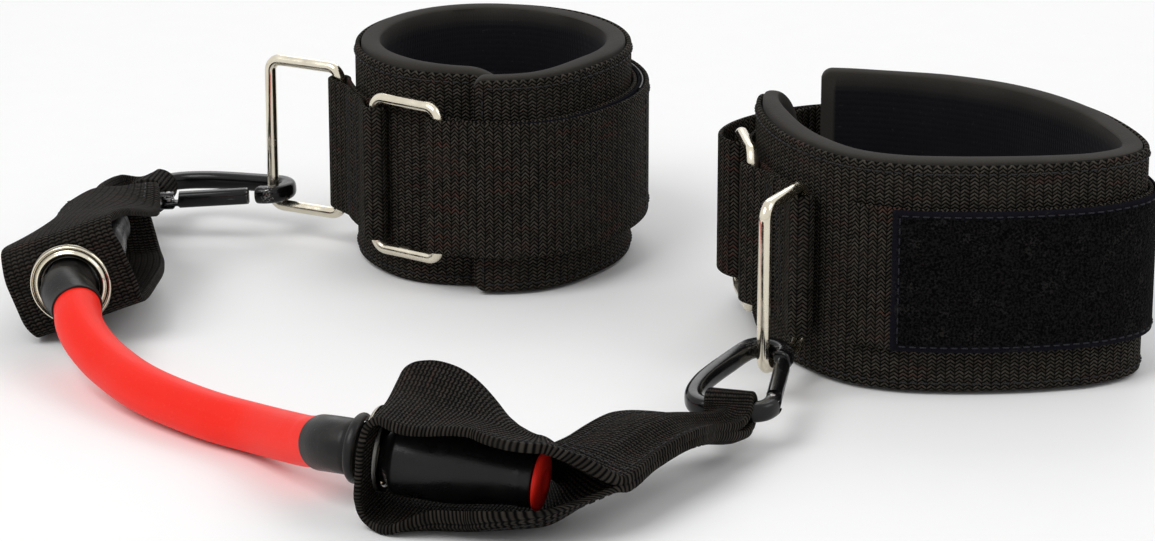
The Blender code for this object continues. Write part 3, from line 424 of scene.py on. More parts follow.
def sleeve_profile(lead):
    """Places along a sleeve and its radius there, out along its skin and back through its bore: a thin lip, a
    groove for the ring, then smooth steps up to the bulb and down to the tail. lead is added at the mouth."""
    half = BUMPER_WIRE / 2
    bore = TUBE_END_OD / 2 + GAP
    mouth_bore = TUBE_OD / 2 + SLEEVE_LIP / 2
    mouth, neck = mouth_bore + SLEEVE_LIP, bore + SLEEVE_WALL
    end = lead + BULB_START + BULB_LENGTH
    s = np.linspace(0.0006, end - 0.0012, 200)
    past = s - lead - BUMPER_AT
    groove = ease((past + 2.2 * half) / half) - ease((past - 1.2 * half) / half)
    r = mouth - (mouth - neck) * groove
    bulb = s - lead - BULB_START
    r = r + (BULB_OD / 2 - mouth) * ease((bulb + 0.001) / BULB_RISE)
    r = r - (BULB_OD - TAIL_OD) / 2 * ease((bulb - BULB_TAPER_AT) / BULB_TAPER)
    r = r + TAIL_BEAD * np.exp(-((s - end + 0.004) / 0.0008) ** 2)
    lip = np.radians(np.linspace(0.0, 90.0, 5))[:-1]
    front = np.column_stack((MOUTH_ROUND * (1.0 - np.cos(lip)), mouth - MOUTH_ROUND * (1.0 - np.sin(lip))))
    back = np.column_stack((end - END_ROUND_WIDE * (1.0 - np.sin(lip)),
                            TAIL_OD / 2 - END_ROUND_DEEP * (1.0 - np.cos(lip))))
    inside = lead + SLEEVE_MOUTH
    bore_line = [(end, bore)] + [(k, bore) for k in np.linspace(lead + BULB_START, inside, 30)]
    mouth_line = [(k, mouth_bore) for k in np.linspace(inside, 0.0, 8)]
    return np.vstack((front, np.column_stack((s, r)), back, bore_line, mouth_line))


RUBBER = rubber_material()
for side, course in ends.items():
    led = course
    if SLEEVE_LEAD[side]:
        over_tube = run_of_tube.at(np.linspace(inside + SLEEVE_LEAD[side], inside + 0.0005, 16))
        led = Course(np.vstack((over_tube, course.points)))
    lead = led.length - course.length
    profile = sleeve_profile(lead)
    # The bulb inside the pocket is marked for painted shade
    sleeve = skin(f"rubber_sleeve_{side}", turned_about(led, *profile.T, 72),
                  round_cloth(np.append(profile[:, 0], 0.0), 0.010, 72), loop=True,
                  masks={"pocket_shade": ease((profile[:, :1] - lead - BULB_START + 0.002) / 0.004)})
    tail_end = BULB_START + BULB_LENGTH
    stub = tail_end + TUBE_STUB
    inner, outer = TUBE_BORE / 2, TUBE_END_OD / 2
    skin_line = [(k, outer) for k in np.linspace(SLEEVE_MOUTH, tail_end + 0.0002, 36)]
    skin_line += [(tail_end + past, FLARE[side] + more) for past, more in LIP_OF_CUT] + [(stub, outer - 0.0010)]
    bore_line = [(stub, inner + 0.0003)] + [(k, inner) for k in np.linspace(stub - 0.0003, SLEEVE_MOUTH, 36)]
    profile = np.array(skin_line + bore_line)
    tail = skin(f"cut_tube_end_{side}", turned_about(course, *profile.T, 48),
                round_cloth(np.append(profile[:, 0], 0.0), outer, 48), loop=True)
    neck = TUBE_END_OD / 2 + GAP + SLEEVE_WALL
    a = around(20)
    wire = BUMPER_WIRE / 2 * (1.0 + 0.05 * np.cos(3 * a))
    profile = arc((BUMPER_AT, neck + GAP + BUMPER_WIRE / 2), wire, a)
    ring = skin(f"rubber_ring_{side}", turned_about(course, *profile.T, 72),
                round_cloth(np.append(profile[:, 0], 0.0), 0.009, 72), loop=True)
    for piece, node, finish, slot in ((sleeve, "tube_sleeve", RUBBER, "black_rubber"),
                                      (tail, "tube_end", LATEX, "red_latex"),
                                      (ring, "bumper_ring", RUBBER, "black_rubber")):
        piece.data.materials.append(finish)
        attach(piece, "tube")
        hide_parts(f"{node}_{side}")


def plug_material():
    """Grey moulded plastic, scuffed where it was pressed in."""
    made, tree, shader = finish_of("plug_plastic_scuffed", 0.5)
    use = handled(tree, 0.004)
    feed(shader, Base_Color=between(tree, use["Smear"], (0.07, 0.07, 0.078), (0.14, 0.14, 0.15)))
    bumped(tree, shader, use["Scratch"], 0.0001, 0.5)
    return made


PLUG = plug_material()
for side in ends:
    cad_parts[f"tube_plug_{side}"].data.materials.clear()
    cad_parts[f"tube_plug_{side}"].data.materials.append(PLUG)


# The grommets are pressed brass, nickel plated: a flange rolled into two beads, a barrel through the webbing,
# and a washer inside that the barrel's end is rolled over.
HOLE = 0.0195
GROMMET_WALL = 0.0009
FLANGE_OD = 0.0285
FLANGE_THICK = 0.00022
FLANGE_ROUND = 0.0004
POCKET_THICK = 0.0022
WASHER_OD = 0.0244
BEADS = ((0.00085, 0.01345, 0.00062), (0.00110, 0.01135, 0.00085))
VALLEYS = ((1.0, 0.01255, 0.00030), (0.8, 0.0140, 0.00018), (0.9, 0.01035, 0.00030))


def plated_material(name, bright, shade, rough, worn):
    """Polished plating: a bright metal, warmer and a little duller where it is handled, with hairlines.
    A mask from the mesh darkens the dirt between a grommet's beads, and is painted shade over the whole rolled
    barrel inside the pocket."""
    made, tree, shader = finish_of(name, rough, 1.0)
    use = handled(tree, 0.006)
    clean = between(tree, use["Smear"], shade, bright)
    marks = sum_of(tree, "MULTIPLY_ADD", use["Scratch"], 0.5, use["Smear"])
    # Dark where the mask is: dirt in the grooves, and painted shade on the roll inside the pocket
    feed(shader, Base_Color=between(tree, mask_of(tree, "grime_and_shade"), clean, (0.020, 0.018, 0.014)),
         Roughness=ramp(tree, marks, 0.35, 1.0, rough * 0.7, rough + worn))
    bumped(tree, shader, use["Grain"], 0.00003, 0.35)
    return made


def bells(x, rows):
    """A sum of bell curves, each of a height, a place and a width."""
    return sum(height * np.exp(-((x - at) / width) ** 2) for height, at, width in rows)


def bore_axis(side):
    """A short line through the grommet's bore, whose middle is at 0.01."""
    centre, way = end_axis(side)
    return Course(np.array([centre + s * way for s in (-0.01, 0.0, 0.01)]))


DULL = plated_material("nickel_unpolished", (0.30, 0.29, 0.27), (0.17, 0.16, 0.15), 0.45, 0.25)
NICKEL = plated_material("nickel_polished", (0.84, 0.79, 0.66), (0.60, 0.54, 0.42), 0.12, 0.12)
for side in ends:
    axis = bore_axis(side)
    wall = POCKET_THICK / 2
    bore, barrel = HOLE / 2, HOLE / 2 + GROMMET_WALL
    face, roll = -wall - GAP, wall + 2 * GAP + 0.0010
    r = np.linspace(FLANGE_OD / 2, bore + 0.0004, 44)
    past = ((r - FLANGE_OD / 2 + FLANGE_ROUND) / FLANGE_ROUND).clip(0.0)
    rim = np.sqrt(np.clip(1.0 - past**2, 0.0, 1.0))
    front = np.column_stack((face - (FLANGE_THICK + bells(r, BEADS)) * rim, r))
    curl = roll + 0.0005
    profile = np.vstack(((face, FLANGE_OD / 2), front,
                         (face - 0.0003, bore + 0.00008), (face, bore), (roll, bore),
                         (curl - 0.0002, bore + 0.0002), (curl, bore + 0.0006), (curl, barrel + 0.0006),
                         (curl - 0.0002, barrel + 0.0010), (roll, barrel + 0.0012),
                         (roll, barrel), (face, barrel)))
    radius = profile[:, 1]
    # Dirt between the beads on the flange; inside the pocket the whole roll gets painted shade
    grime_and_shade = np.where(profile[:, 0] < 0.0, bells(radius, VALLEYS), 1.0)
    grommet = skin(f"rolled_grommet_{side}", turned_about(axis, profile[:, 0] + 0.01, radius, 96), loop=True,
                   masks={"grime_and_shade": grime_and_shade[:, None]})
    low, inner, outer = wall + GAP, barrel + GAP, WASHER_OD / 2
    profile = np.array([(low, inner), (low + 0.0010, inner), (low + 0.00105, inner + 0.0008),
                        (low + 0.0008, outer - 0.0005), (low + 0.0004, outer - 0.00005), (low, outer)])
    washer = skin(f"pressed_washer_{side}", turned_about(axis, *(profile + (0.01, 0.0)).T, 72), loop=True)
    for piece, node, plating in ((grommet, "grommet", NICKEL), (washer, "grommet_washer", DULL)):
        piece.data.materials.append(plating)
        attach(piece, f"pocket_{side}")
        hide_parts(f"{node}_{side}")


# Each cuff is a band of neoprene foam, lined on the inside with smooth knit and edged by its own rounded rims.
# The left one is closed with its rounded tongue tucked in; the right one lies open, its ends drawn together.
CUFF_HEIGHT = 0.080
PAD_THICK = 0.0070
PAD_END_THICK = 0.0054
PAD_CROWN = 0.0009
RIM_ROUND = 0.0022
RIM_FLATNESS = 0.34
BINDING_AT, BINDING_WIDTH, BINDING_DEPTH = 0.90, 0.022, 0.0011
SEAT = 0.00015
TONGUE_ROUND = 0.020
END_ROUND = 0.004
TUCK = 0.018
TUCK_RISE = 0.0040
TUCK_RUN = 0.034
RIM_WAVES = ((0.0007, 19.0, 1.0), (0.0004, 53.0, 0.0))
LINING_WAVES = ((0.00022, 95.0, 0.0), (0.0001, 233.0, 1.0))
ROUND_CENTRE = (-0.0280, 0.1224)
ROUND_HALF = (0.0480, 0.0515)
ROUND_TUCK_ANGLE = math.radians(263.5)
OVAL_POINTS = ((0.0750, 0.0639), (0.0670, 0.0479), (0.0660, 0.0299), (0.0695, 0.0099),
               (0.0770, -0.0091), (0.0900, -0.0266), (0.1060, -0.0351), (0.1240, -0.0376),
               (0.1425, -0.0371), (0.1595, -0.0346), (0.1745, -0.0301), (0.1870, -0.0206),
               (0.1890, -0.0061), (0.1815, 0.0199), (0.1685, 0.0419), (0.1525, 0.0589),
               (0.1345, 0.0699), (0.1175, 0.0759), (0.1015, 0.0794), (0.0885, 0.0804))


def round_course():
    """An ellipse walked clockwise, its two ends eased apart where they overlap."""
    mean = sum(ROUND_HALF) / 2
    a = np.linspace(ROUND_TUCK_ANGLE + TUCK / mean, ROUND_TUCK_ANGLE - 2 * math.pi, 400)
    run = (a[0] - a) * mean
    out, tucked = (ease((k + TUCK + TUCK_RUN) / TUCK_RUN) for k in (run - run[-1], -run))
    half = np.array(ROUND_HALF) + TUCK_RISE * (out - tucked)[:, None]
    return Course(ROUND_CENTRE + half * np.column_stack((np.cos(a), np.sin(a))), -1.0)


def end_height(s, length, full):
    """Half the band's height at s: full less a quarter circle at each end."""
    corners = 0.0
    for run, radius in ((s, TONGUE_ROUND), (length - s, END_ROUND)):
        inside = np.clip(radius - run, 0.0, radius * 0.985)
        corners = corners + radius - np.sqrt(radius**2 - inside**2)
    return full / 2 - corners


def band_places(length, step):
    """Even places along the band, closer where its ends are cut round."""
    tip = TONGUE_ROUND * (1 - np.cos(np.linspace(0.0, math.pi / 2, 26)))
    tail = length - END_ROUND * (1 - np.cos(np.linspace(math.pi / 2, 0.0, 9)))
    count = int((length - TONGUE_ROUND - END_ROUND) / step)
    return np.concatenate((tip[:-1], np.linspace(TONGUE_ROUND, length - END_ROUND, count), tail[1:]))


def humps(tree, x, turn=math.pi, add=0.0):
    """|sin(turn x + add)|."""
    return sum_of(tree, "ABSOLUTE", sum_of(tree, "SINE", sum_of(tree, "MULTIPLY_ADD", x, turn, add)))


def foam_material():
    """Neoprene: on its cut rims brownish black and finely porous, their lightness partly their own colour and
    partly painted light; on its lining blue-black with the fine upright ribs of a knit; the mask rim, from the
    mesh, says which. Lint lies on both."""
    made, tree, shader = finish_of("neoprene_lined", 0.90, Specular_IOR_Level=0.12, Sheen_Weight=0.05,
                                   Sheen_Roughness=0.4, Sheen_Tint=(0.75, 0.76, 0.85, 1.0))
    rim, use = mask_of(tree, "rim"), handled(tree, 0.016)
    knit = put(tree, "SeparateXYZ", {0: stretched(tree, cloth_of(tree), (900.0, 500.0, 1.0))}).outputs
    ribs = humps(tree, knit[0])
    loops = sum_of(tree, "MULTIPLY", ribs, humps(tree, knit[1], add=ribs))
    pores = noise_of(tree, place_of(tree), 1500.0)
    # The rims' lighter colour is partly painted light from above
    rims = between(tree, use["Smear"], (0.026, 0.0235, 0.0205), (0.046, 0.042, 0.037))
    lining = between(tree, use["Smear"], (0.0040, 0.0038, 0.0052), (0.0090, 0.0085, 0.0115))
    lint = ramp(tree, use["Scratch"], 0.2, 1.0, 0.0, 0.35)
    feed(shader, Base_Color=between(tree, lint, between(tree, rim, lining, rims), (0.05, 0.048, 0.045)))
    bumped(tree, shader, put(tree, "Mix", {0: rim, 2: loops, 3: pores}).outputs[0], 0.00022, 0.7)
    return made


def waves(s, rows):
    """A column for each wave along s, of a height, a number of radians to the metre and a start."""
    return ((height * np.sin(rate * s + start))[:, None] for height, rate, start in rows)


FOAM = foam_material()
bands = {"left": round_course(), "right": Course(through(OVAL_POINTS, 30), 1.0)}
for side, band in bands.items():
    s = band_places(band.length, 0.0012)
    half = end_height(s, band.length, CUFF_HEIGHT)[:, None]
    ends_free = (ease((s - TUCK) / TUCK_RUN) * ease((band.length - s - TUCK) / TUCK_RUN))[:, None]
    thick = PAD_END_THICK + (PAD_THICK - PAD_END_THICK) * ends_free
    flank = np.clip(half - RIM_ROUND, 0.002, None)
    k = np.linspace(-1.0, 1.0, 15)
    rolled = np.linspace(0.0, math.pi, 15)[1:-1]
    level = k[::-1]
    # Across the section: up the seam, over the rim, flat on top with round corners, down the crowned lining to
    # the groove where it is bound, and under the lower rim
    long_wave, short_wave = waves(s, RIM_WAVES)
    half = half + long_wave * ends_free + short_wave
    bound = np.exp(-((np.abs(level) - BINDING_AT) / BINDING_WIDTH) ** 2)
    crown = PAD_CROWN * (1.0 - np.abs(level) ** 3) - BINDING_DEPTH * bound
    long_wave, short_wave = waves(s, LINING_WAVES)
    crown = (crown + long_wave * np.cos(2.2 * level) + short_wave) * ends_free
    turned = (1.0 - np.cos(rolled)) / 2
    over = -SEAT - (thick - SEAT) * turned
    rim = (half - flank) * np.sin(rolled) ** RIM_FLATNESS
    h = np.hstack((np.full((len(s), len(k)), -SEAT), over, -thick - crown, over[:, ::-1]))
    z = np.hstack((k * flank, flank + rim, level * flank, -flank - rim[:, ::-1]))
    plan = band.at(s)[:, None] + band.aside(s)[:, None] * h[..., None]
    grid = np.concatenate((plan, CUFF_HEIGHT / 2 + z[..., None]), axis=-1)
    v = np.concatenate((k, 1.0 + 0.1 * turned, 1.1 + level, 3.2 + 0.1 * turned, (3.4,)))
    cloth = paired(s[:, None], 0.037 * v)
    lining = np.abs(level) < BINDING_AT + 0.015
    rims = np.concatenate((np.ones(len(k) + len(rolled)), np.where(lining, 0.0, 1.0), np.ones(len(rolled))))
    tips = 1.0 - ease((s - 0.004) / 0.001) * ease((band.length - s - 0.004) / 0.001)
    pad = skin(f"foam_band_{side}", grid, cloth, masks={"rim": np.maximum(rims[None, :], tips[:, None])})
    pad.data.materials.append(FOAM)
    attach(pad, f"cuff_{side}")
    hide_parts(f"cuff_pad_{side}")


# Wide coarse webbing is sewn on the outside of each foam band, two millimetres short of its rims, with a row of
# black thread near each edge. It is woven of flat polypropylene yarns that float over one another in chevrons.
WEB_WIDTH = 0.0774
WEB_THICK = 0.0020
EDGE_SEAM = 0.0028
END_SEAM = 0.0032


def weave_group():
    """Chevron webbing from coordinates in metres, u along and v across. Ribs are |sin| of v over the yarn's
    width plus a triangle wave in u, which makes the chevrons; each float is rounded off at its two ends.
    Each float has its own tone from white noise of its row and column."""
    sockets = (("Vector", "Vector", None), ("Column", "Float", 0.0033), ("Yarn", "Float", 0.0011),
               ("Slant", "Float", 0.9), ("Wander", "Float", 0.15))
    tree, given, out = group_of("chevron weave", sockets, ("Height", "Tone", "Fleck", "Fuzz"))
    waver = sum_of(tree, "SUBTRACT", noise_of(tree, given["Vector"], 320.0), 0.5)
    stray = sum_of(tree, "MULTIPLY", waver, given["Wander"])
    uv = put(tree, "SeparateXYZ", {0: given["Vector"]}).outputs
    x = sum_of(tree, "ADD", sum_of(tree, "DIVIDE", uv[0], given["Column"]), stray)
    y = sum_of(tree, "ADD", sum_of(tree, "DIVIDE", uv[1], given["Yarn"]), sum_of(tree, "MULTIPLY", stray, 2.0))
    column = sum_of(tree, "FRACT", x)
    zigzag = sum_of(tree, "MULTIPLY", sum_of(tree, "ABSOLUTE", sum_of(tree, "SUBTRACT", column, 0.5)), 2.0)
    yarn = sum_of(tree, "MULTIPLY_ADD", zigzag, given["Slant"], y)
    whole = sum_of(tree, "SQRT", humps(tree, column))
    halves = sum_of(tree, "SQRT", humps(tree, column, 2 * math.pi))
    floats = sum_of(tree, "MULTIPLY_ADD", halves, 0.30, sum_of(tree, "MULTIPLY_ADD", whole, 0.42, 0.28))
    row = sum_of(tree, "FLOOR", yarn)
    float_at = sum_of(tree, "FLOOR", sum_of(tree, "MULTIPLY", x, 2.0))
    cell = put(tree, "CombineXYZ", {0: float_at, 1: row}).outputs[0]
    along_row = put(tree, "CombineXYZ", {0: sum_of(tree, "MULTIPLY", uv[0], 45.0), 1: row}).outputs[0]
    found = {"Height": sum_of(tree, "MULTIPLY", humps(tree, yarn), floats),
             "Tone": put(tree, "TexWhiteNoise", {0: cell}, noise_dimensions="2D").outputs[0],
             "Fleck": noise_of(tree, along_row, 1.0, 1.0), "Fuzz": noise_of(tree, given["Vector"], 4200.0, 1.0)}
    for name, value in found.items():
        tree.links.new(value, out.inputs[name])
    return tree


WEAVE = weave_group()


def woven_material(name, dark, light, brown, column, yarn, slant, shine):
    """Webbing: dark between the yarns as painted shade, lighter on their crowns as painted highlight, each
    float of its own tone, some of them brown, and stray fibres over all."""
    made, tree, shader = finish_of(name, shine, Specular_IOR_Level=0.03)
    weave = grouped(tree, WEAVE, Vector=cloth_of(tree), Column=column, Yarn=yarn, Slant=slant, Wander=0.16)
    # Painted light and shade: lighter the higher the yarn, darker in the gaps between yarns
    painted_crown_light = ramp(tree, weave["Height"], 0.26, 0.88, interpolation_type="SMOOTHSTEP")
    crown = sum_of(tree, "MULTIPLY", painted_crown_light, sum_of(tree, "MULTIPLY_ADD", weave["Tone"], 0.70, 0.45))
    flecks = sum_of(tree, "MULTIPLY", ramp(tree, weave["Fleck"], 0.56, 0.70, 0.0, 0.75), crown)
    mixed = between(tree, flecks, between(tree, crown, dark, light), brown)
    dusty = ramp(tree, handled(tree, 0.022)["Smear"], 0.50, 0.80, 0.0, 0.22)
    feed(shader, Base_Color=between(tree, dusty, mixed, (0.045, 0.041, 0.035)),
         Roughness=ramp(tree, weave["Height"], low=0.95, high=shine))
    bumped(tree, shader, sum_of(tree, "MULTIPLY_ADD", weave["Fuzz"], 0.14, weave["Height"]), 0.00070, 1.0)
    return made


def strip(course, s, offset, tall, thick, across=16):
    """Webbing on its edge along a course: an upright section with half-round edges, carried along. offset is
    how far its middle stands off the course and tall is half its height. Returns the grid and its coordinates
    in metres."""
    s = np.asarray(s, float)
    tall, offset, thick = (np.broadcast_to(x, s.shape)[:, None] for x in (tall, offset, thick))
    edge = np.radians(np.linspace(0.0, 180.0, 7))[1:-1]
    k = np.linspace(-1.0, 1.0, across)
    out = np.concatenate((np.ones(across), np.cos(edge), -np.ones(across), -np.cos(edge)))
    level = np.concatenate((k, np.ones(5), -k, -np.ones(5)))
    bulge = np.concatenate((np.zeros(across), np.sin(edge), np.zeros(across), -np.sin(edge)))
    half = thick / 2
    z = MIDDLE + level * (tall - np.minimum(half, tall / 2)) + bulge * half
    plan = course.at(s)[:, None] + course.aside(s)[:, None] * (offset + out * half)[..., None]
    grid = np.concatenate((plan, z[..., None]), axis=-1)
    v = np.concatenate((z, z[:, :1]), axis=1)
    return grid, paired(s[:, None], v)


def closed_ends(s, thick):
    """A strip's thickness, rounded off over its last half thickness."""
    run = np.minimum(s - s[0], s[-1] - s)
    k = np.clip(1.0 - run / (thick / 2), 0.0, 0.96)
    return thick * np.sqrt(1.0 - k * k)


def even(start, stop, step):
    """Even places from start to stop, with four more close to each end for its rounding."""
    near = np.array((0.0, 0.0001, 0.0003, 0.0006, 0.0009))
    inner = np.linspace(start + 2 * near[-1], stop - 2 * near[-1], max(3, int((stop - start) / step)))
    return np.concatenate((start + near, inner, stop - near[::-1]))


def stitch_row(points, outward, pitch=0.0034, rod=0.0025, radius=0.00030):
    """Sewing along a line: each stitch is a six-sided rod of four rings that lies on the cloth and dips in at
    both ends. Returns the points of all its stitches, 24 to each."""
    course = Course(points)
    count = max(1, int(course.length / pitch))
    s = (np.arange(count) + 0.5) * course.length / count
    ahead = course.ahead(s)
    out = np.column_stack([np.interp(s, course.s, c) for c in np.broadcast_to(outward, course.points.shape).T])
    out = unit(out - ahead * np.sum(out * ahead, axis=1)[:, None])
    side = np.cross(out, ahead)
    x = rod * np.array((-0.5, -0.36, 0.36, 0.5))
    r = radius * np.array((0.45, 1.0, 1.0, 0.45))
    lift = radius * np.array((-0.7, 0.25, 0.25, -0.7))
    a = np.arange(6) * math.pi / 3
    up = lift[:, None] + r[:, None] * np.cos(a)
    wide = r[:, None] * np.sin(a)
    made = (course.at(s)[:, None, None] + ahead[:, None, None] * x[None, :, None, None]
            + out[:, None, None] * up[None, ..., None] + side[:, None, None] * wide[None, ..., None])
    return made.reshape(-1, 3)


def row_along(course, run, height, z):
    """Stitches along a course at the level z, on a face that stands at a height over the course."""
    level = np.broadcast_to(z, run.shape)
    return stitch_row(np.column_stack((course.raised(run, height), level)),
                      np.column_stack((course.aside(run), np.zeros(len(run)))))


def row_up(course, place, height, half):
    """Upright stitches at a place, from half below the cuff's middle to half above it."""
    line = np.column_stack((np.repeat(course.raised(place, height), 2, 0), (MIDDLE - half, MIDDLE + half)))
    return stitch_row(line, np.append(course.aside(place)[0], 0.0))


def sewn(name, rows, body, finish):
    """One mesh of all the stitches of a piece, with the same 20 faces repeated for each stitch."""
    points = np.vstack(rows)
    ring, k = np.meshgrid(np.arange(3), np.arange(6), indexing="ij")
    after = (k + 1) % 6
    quads = np.stack((k, after, 6 + after, 6 + k), -1) + ring[..., None] * 6
    base = np.arange(len(points) // 24)[:, None, None] * 24
    caps = np.stack((np.arange(6)[::-1], np.arange(18, 24)))
    faces = (quads.reshape(-1, 4) + base).reshape(-1, 4).tolist() + (caps + base).reshape(-1, 6).tolist()
    mesh = bpy.data.meshes.new(name)
    mesh.from_pydata(points.tolist(), [], faces)
    made = shown(name, mesh, 80.0)
    made.data.materials.append(finish)
    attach(made, body)
    return made


def thread_material(name, colour, glint):
    """Sewing thread: a twisted yarn, with slanting plies as wave bands on its place."""
    made, tree, shader = finish_of(name, 0.60, Specular_IOR_Level=0.2)
    plies = put(tree, "TexWave", {"Vector": place_of(tree), "Scale": 900.0, "Distortion": 1.0},
                bands_direction="DIAGONAL").outputs[1]
    feed(shader, Base_Color=between(tree, plies, colour, glint))
    bumped(tree, shader, plies, 0.00008, 0.6)
    return made


THREAD = thread_material("black_thread", (0.006, 0.006, 0.007), (0.022, 0.022, 0.024))
BAND_CLOTH = woven_material("band_webbing_woven", (0.0028, 0.0025, 0.0022), (0.060, 0.053, 0.043),
                            (0.060, 0.028, 0.021), 0.0030, 0.0013, 0.85, 0.62)
MIDDLE = CUFF_HEIGHT / 2
for side, band in bands.items():
    s = band_places(band.length, 0.0010)
    half = end_height(s, band.length, WEB_WIDTH)
    grid, cloth = strip(band, s, SEAT + WEB_THICK / 2, half, WEB_THICK - SEAT, 24)
    webbing = skin(f"outer_webbing_{side}", grid, cloth)
    webbing.data.materials.append(BAND_CLOTH)
    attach(webbing, f"cuff_{side}")
    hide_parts(f"cuff_webbing_{side}")
    run = np.linspace(0.006, band.length - 0.004, 300)
    face, seam = SEAT + WEB_THICK + 0.0001, end_height(run, band.length, WEB_WIDTH) - EDGE_SEAM
    rows = [row_along(band, run, face, MIDDLE + sign * seam) for sign in (-1, 1)]
    place = band.length - END_SEAM
    rows.append(row_up(band, place, face, end_height(place, band.length, WEB_WIDTH) - 0.003))
    sewn(f"band_stitches_{side}", rows, f"cuff_{side}", THREAD)


# The two rings of each cuff are rectangles bent from round steel wire, butt welded and nickel plated. The load
# ring takes the snap hook; the cinch ring turns the closure strap back. Their weld is on the bar in the keeper.
WIRE = 0.0042
RING_INNER = 0.0513
RING_CORNER = 0.0024
RING_HEIGHT = RING_INNER + WIRE
WELD_HEIGHT = 0.00018
WELD_WIDTH = 0.0007
CINCH_PITCH = 0.0280
LOAD_PITCH = 0.0295
LOAD_SWING = math.radians(27.0)
LOAD_STAND = 0.0080
CINCH_OUTER = TUCK + 0.005
CINCH_INNER = CINCH_OUTER + CINCH_PITCH
LOAD_AT = CINCH_INNER + 0.037
RING_LIFT = {"left": 0.0047, "right": 0.0012}
STRAP_THICK = 0.0017
WRAP = WIRE / 2 + 0.0005 + STRAP_THICK / 2
STRAP_MID = SEAT + WEB_THICK + GAP + STRAP_THICK / 2
BAR_STAND = STRAP_MID + WRAP


def bars_of(side):
    """In plan: the load ring's bar and the way out to its far bar, and the cinch ring's two bars."""
    band = bands[side]
    bar = band.raised(LOAD_AT, LOAD_STAND)[0]
    way = math.cos(LOAD_SWING) * band.aside(LOAD_AT)[0] + math.sin(LOAD_SWING) * band.ahead(LOAD_AT)[0]
    inner = band.raised(CINCH_INNER, BAR_STAND)[0]
    cinch_way = unit(band.raised(CINCH_OUTER, BAR_STAND + RING_LIFT[side])[0] - inner)
    return bar, way, inner, inner + CINCH_PITCH * cinch_way


def wire_ring(name, bar, way, pitch):
    """Round wire along a rectangle with bent corners: quarter circles joined by straights, and a low weld bead
    where the wire's ends meet, a Gaussian on its radius."""
    radius = RING_CORNER + WIRE / 2
    half = RING_HEIGHT / 2
    bend = np.linspace(0.0, math.pi / 2, 12)
    corners = ((pitch - radius, half - radius), (radius, half - radius),
               (radius, radius - half), (pitch - radius, radius - half))
    flat = [arc(corner, radius, bend + k * math.pi / 2) for k, corner in enumerate(corners)]
    walk = Course(np.vstack((*flat, flat[0][:1])))
    s = np.unique(np.concatenate((walk.s, np.linspace(0.0, walk.length, 120))))[:-1]
    flat = walk.at(s)
    step = walk.at((s + 0.0002) % walk.length) - walk.at((s - 0.0002) % walk.length)
    way = np.append(way, 0.0)
    path = np.array([*bar, MIDDLE]) + flat[:, :1] * way + flat[:, 1:] * (0, 0, 1)
    ahead = unit(step[:, :1] * way + step[:, 1:] * (0, 0, 1))
    across = np.cross(way, (0.0, 0.0, 1.0))
    third = np.cross(ahead, across)
    a = around(28)[None, :, None]
    weld = np.exp(-((flat[:, 1] / WELD_WIDTH) ** 2)) * (flat[:, 0] < WIRE)
    r = (WIRE / 2 + WELD_HEIGHT * weld)[:, None, None]
    grid = path[:, None] + r * (np.cos(a) * across + np.sin(a) * third[:, None])
    return skin(name, grid, round_cloth(np.append(s, walk.length), WIRE / 2, 28), loop=True)


RING_METAL = plated_material("ring_nickel_plated", (0.82, 0.77, 0.64), (0.58, 0.52, 0.41), 0.13, 0.4)
for side in bands:
    bar, way, inner, outer = bars_of(side)
    load = wire_ring(f"load_wire_{side}", bar, way, LOAD_PITCH)
    cinch = wire_ring(f"cinch_wire_{side}", inner, unit(outer - inner), CINCH_PITCH)
    for ring, node, body in ((load, "load_ring", "ring"), (cinch, "cinch_ring", "cinch")):
        ring.data.materials.append(RING_METAL)
        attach(ring, f"{body}_{side}")
        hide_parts(f"{node}_{side}")


# A narrower webbing strap, woven in bold upright zigzags, closes each cuff. It is sewn on from behind the load
# ring to the band's end, goes under the cinch ring's outer bar, folds round it and lies back on the patch.
STRAP_WIDTH = 0.049
PATCH_THICK = 0.0010
HOOK_THICK = 0.0008
BASE_START = 0.016
PATCH_INSET = 0.0003
PATCH_START = 0.0135
PATCH_END = 0.012
HOOK_LENGTH = 0.050
BASE_TOP = STRAP_MID + STRAP_THICK / 2
PATCH_MID = BASE_TOP + GAP + PATCH_THICK / 2
HOOK_MID = BASE_TOP + PATCH_THICK + 2 * GAP + HOOK_THICK / 2
FLAP_MID = HOOK_MID + HOOK_THICK / 2 + GAP + STRAP_THICK / 2
FLAP_LENGTH = 0.125
BOX_SEAM = 0.004
STRAP_SEAM = 0.0035
FLAP_LANDS = {"left": 0.010, "right": 0.012}
CROSS_PULL = {"left": 0.010, "right": 0.030}
FOLD_TURN = {"left": math.radians(62.0), "right": math.radians(126.0)}
FOLD_OUT = {"left": 0.010, "right": 0.070}
FOLD_BACK = {"left": 0.016, "right": 0.080}
STRAP_CLOTH = woven_material("strap_webbing_zigzag", (0.0016, 0.0014, 0.0013), (0.058, 0.051, 0.041),
                             (0.080, 0.030, 0.021), 0.0031, 0.0014, 1.10, 0.58)


def bridge(start, start_pull, end, end_pull, count=40):
    """A Hermite cubic from start to end, which leaves along one pull and arrives along the other."""
    u = np.linspace(0.0, 1.0, count)[:, None]
    return ((2 * u**3 - 3 * u**2 + 1) * start + (u**3 - 2 * u**2 + u) * start_pull
            + (3 * u**2 - 2 * u**3) * end + (u**3 - u**2) * end_pull)


def strap_piece(name, path, start=0.0, free=(True, True)):
    """The strap's webbing along a plan path, rounded off at its free ends and its cloth counted from start."""
    course = Course(path)
    s = even(0.0, course.length, 0.0009)
    middle = course.length / 2
    keep = ((s < middle) & (not free[0])) | ((s > middle) & (not free[1]))
    thick = np.where(keep, STRAP_THICK, closed_ends(s, STRAP_THICK))
    grid, cloth = strip(course, s, 0.0, STRAP_WIDTH / 2, thick)
    made = skin(name, grid, cloth + (start, 0.0))
    made.data.materials.append(STRAP_CLOTH)
    return made


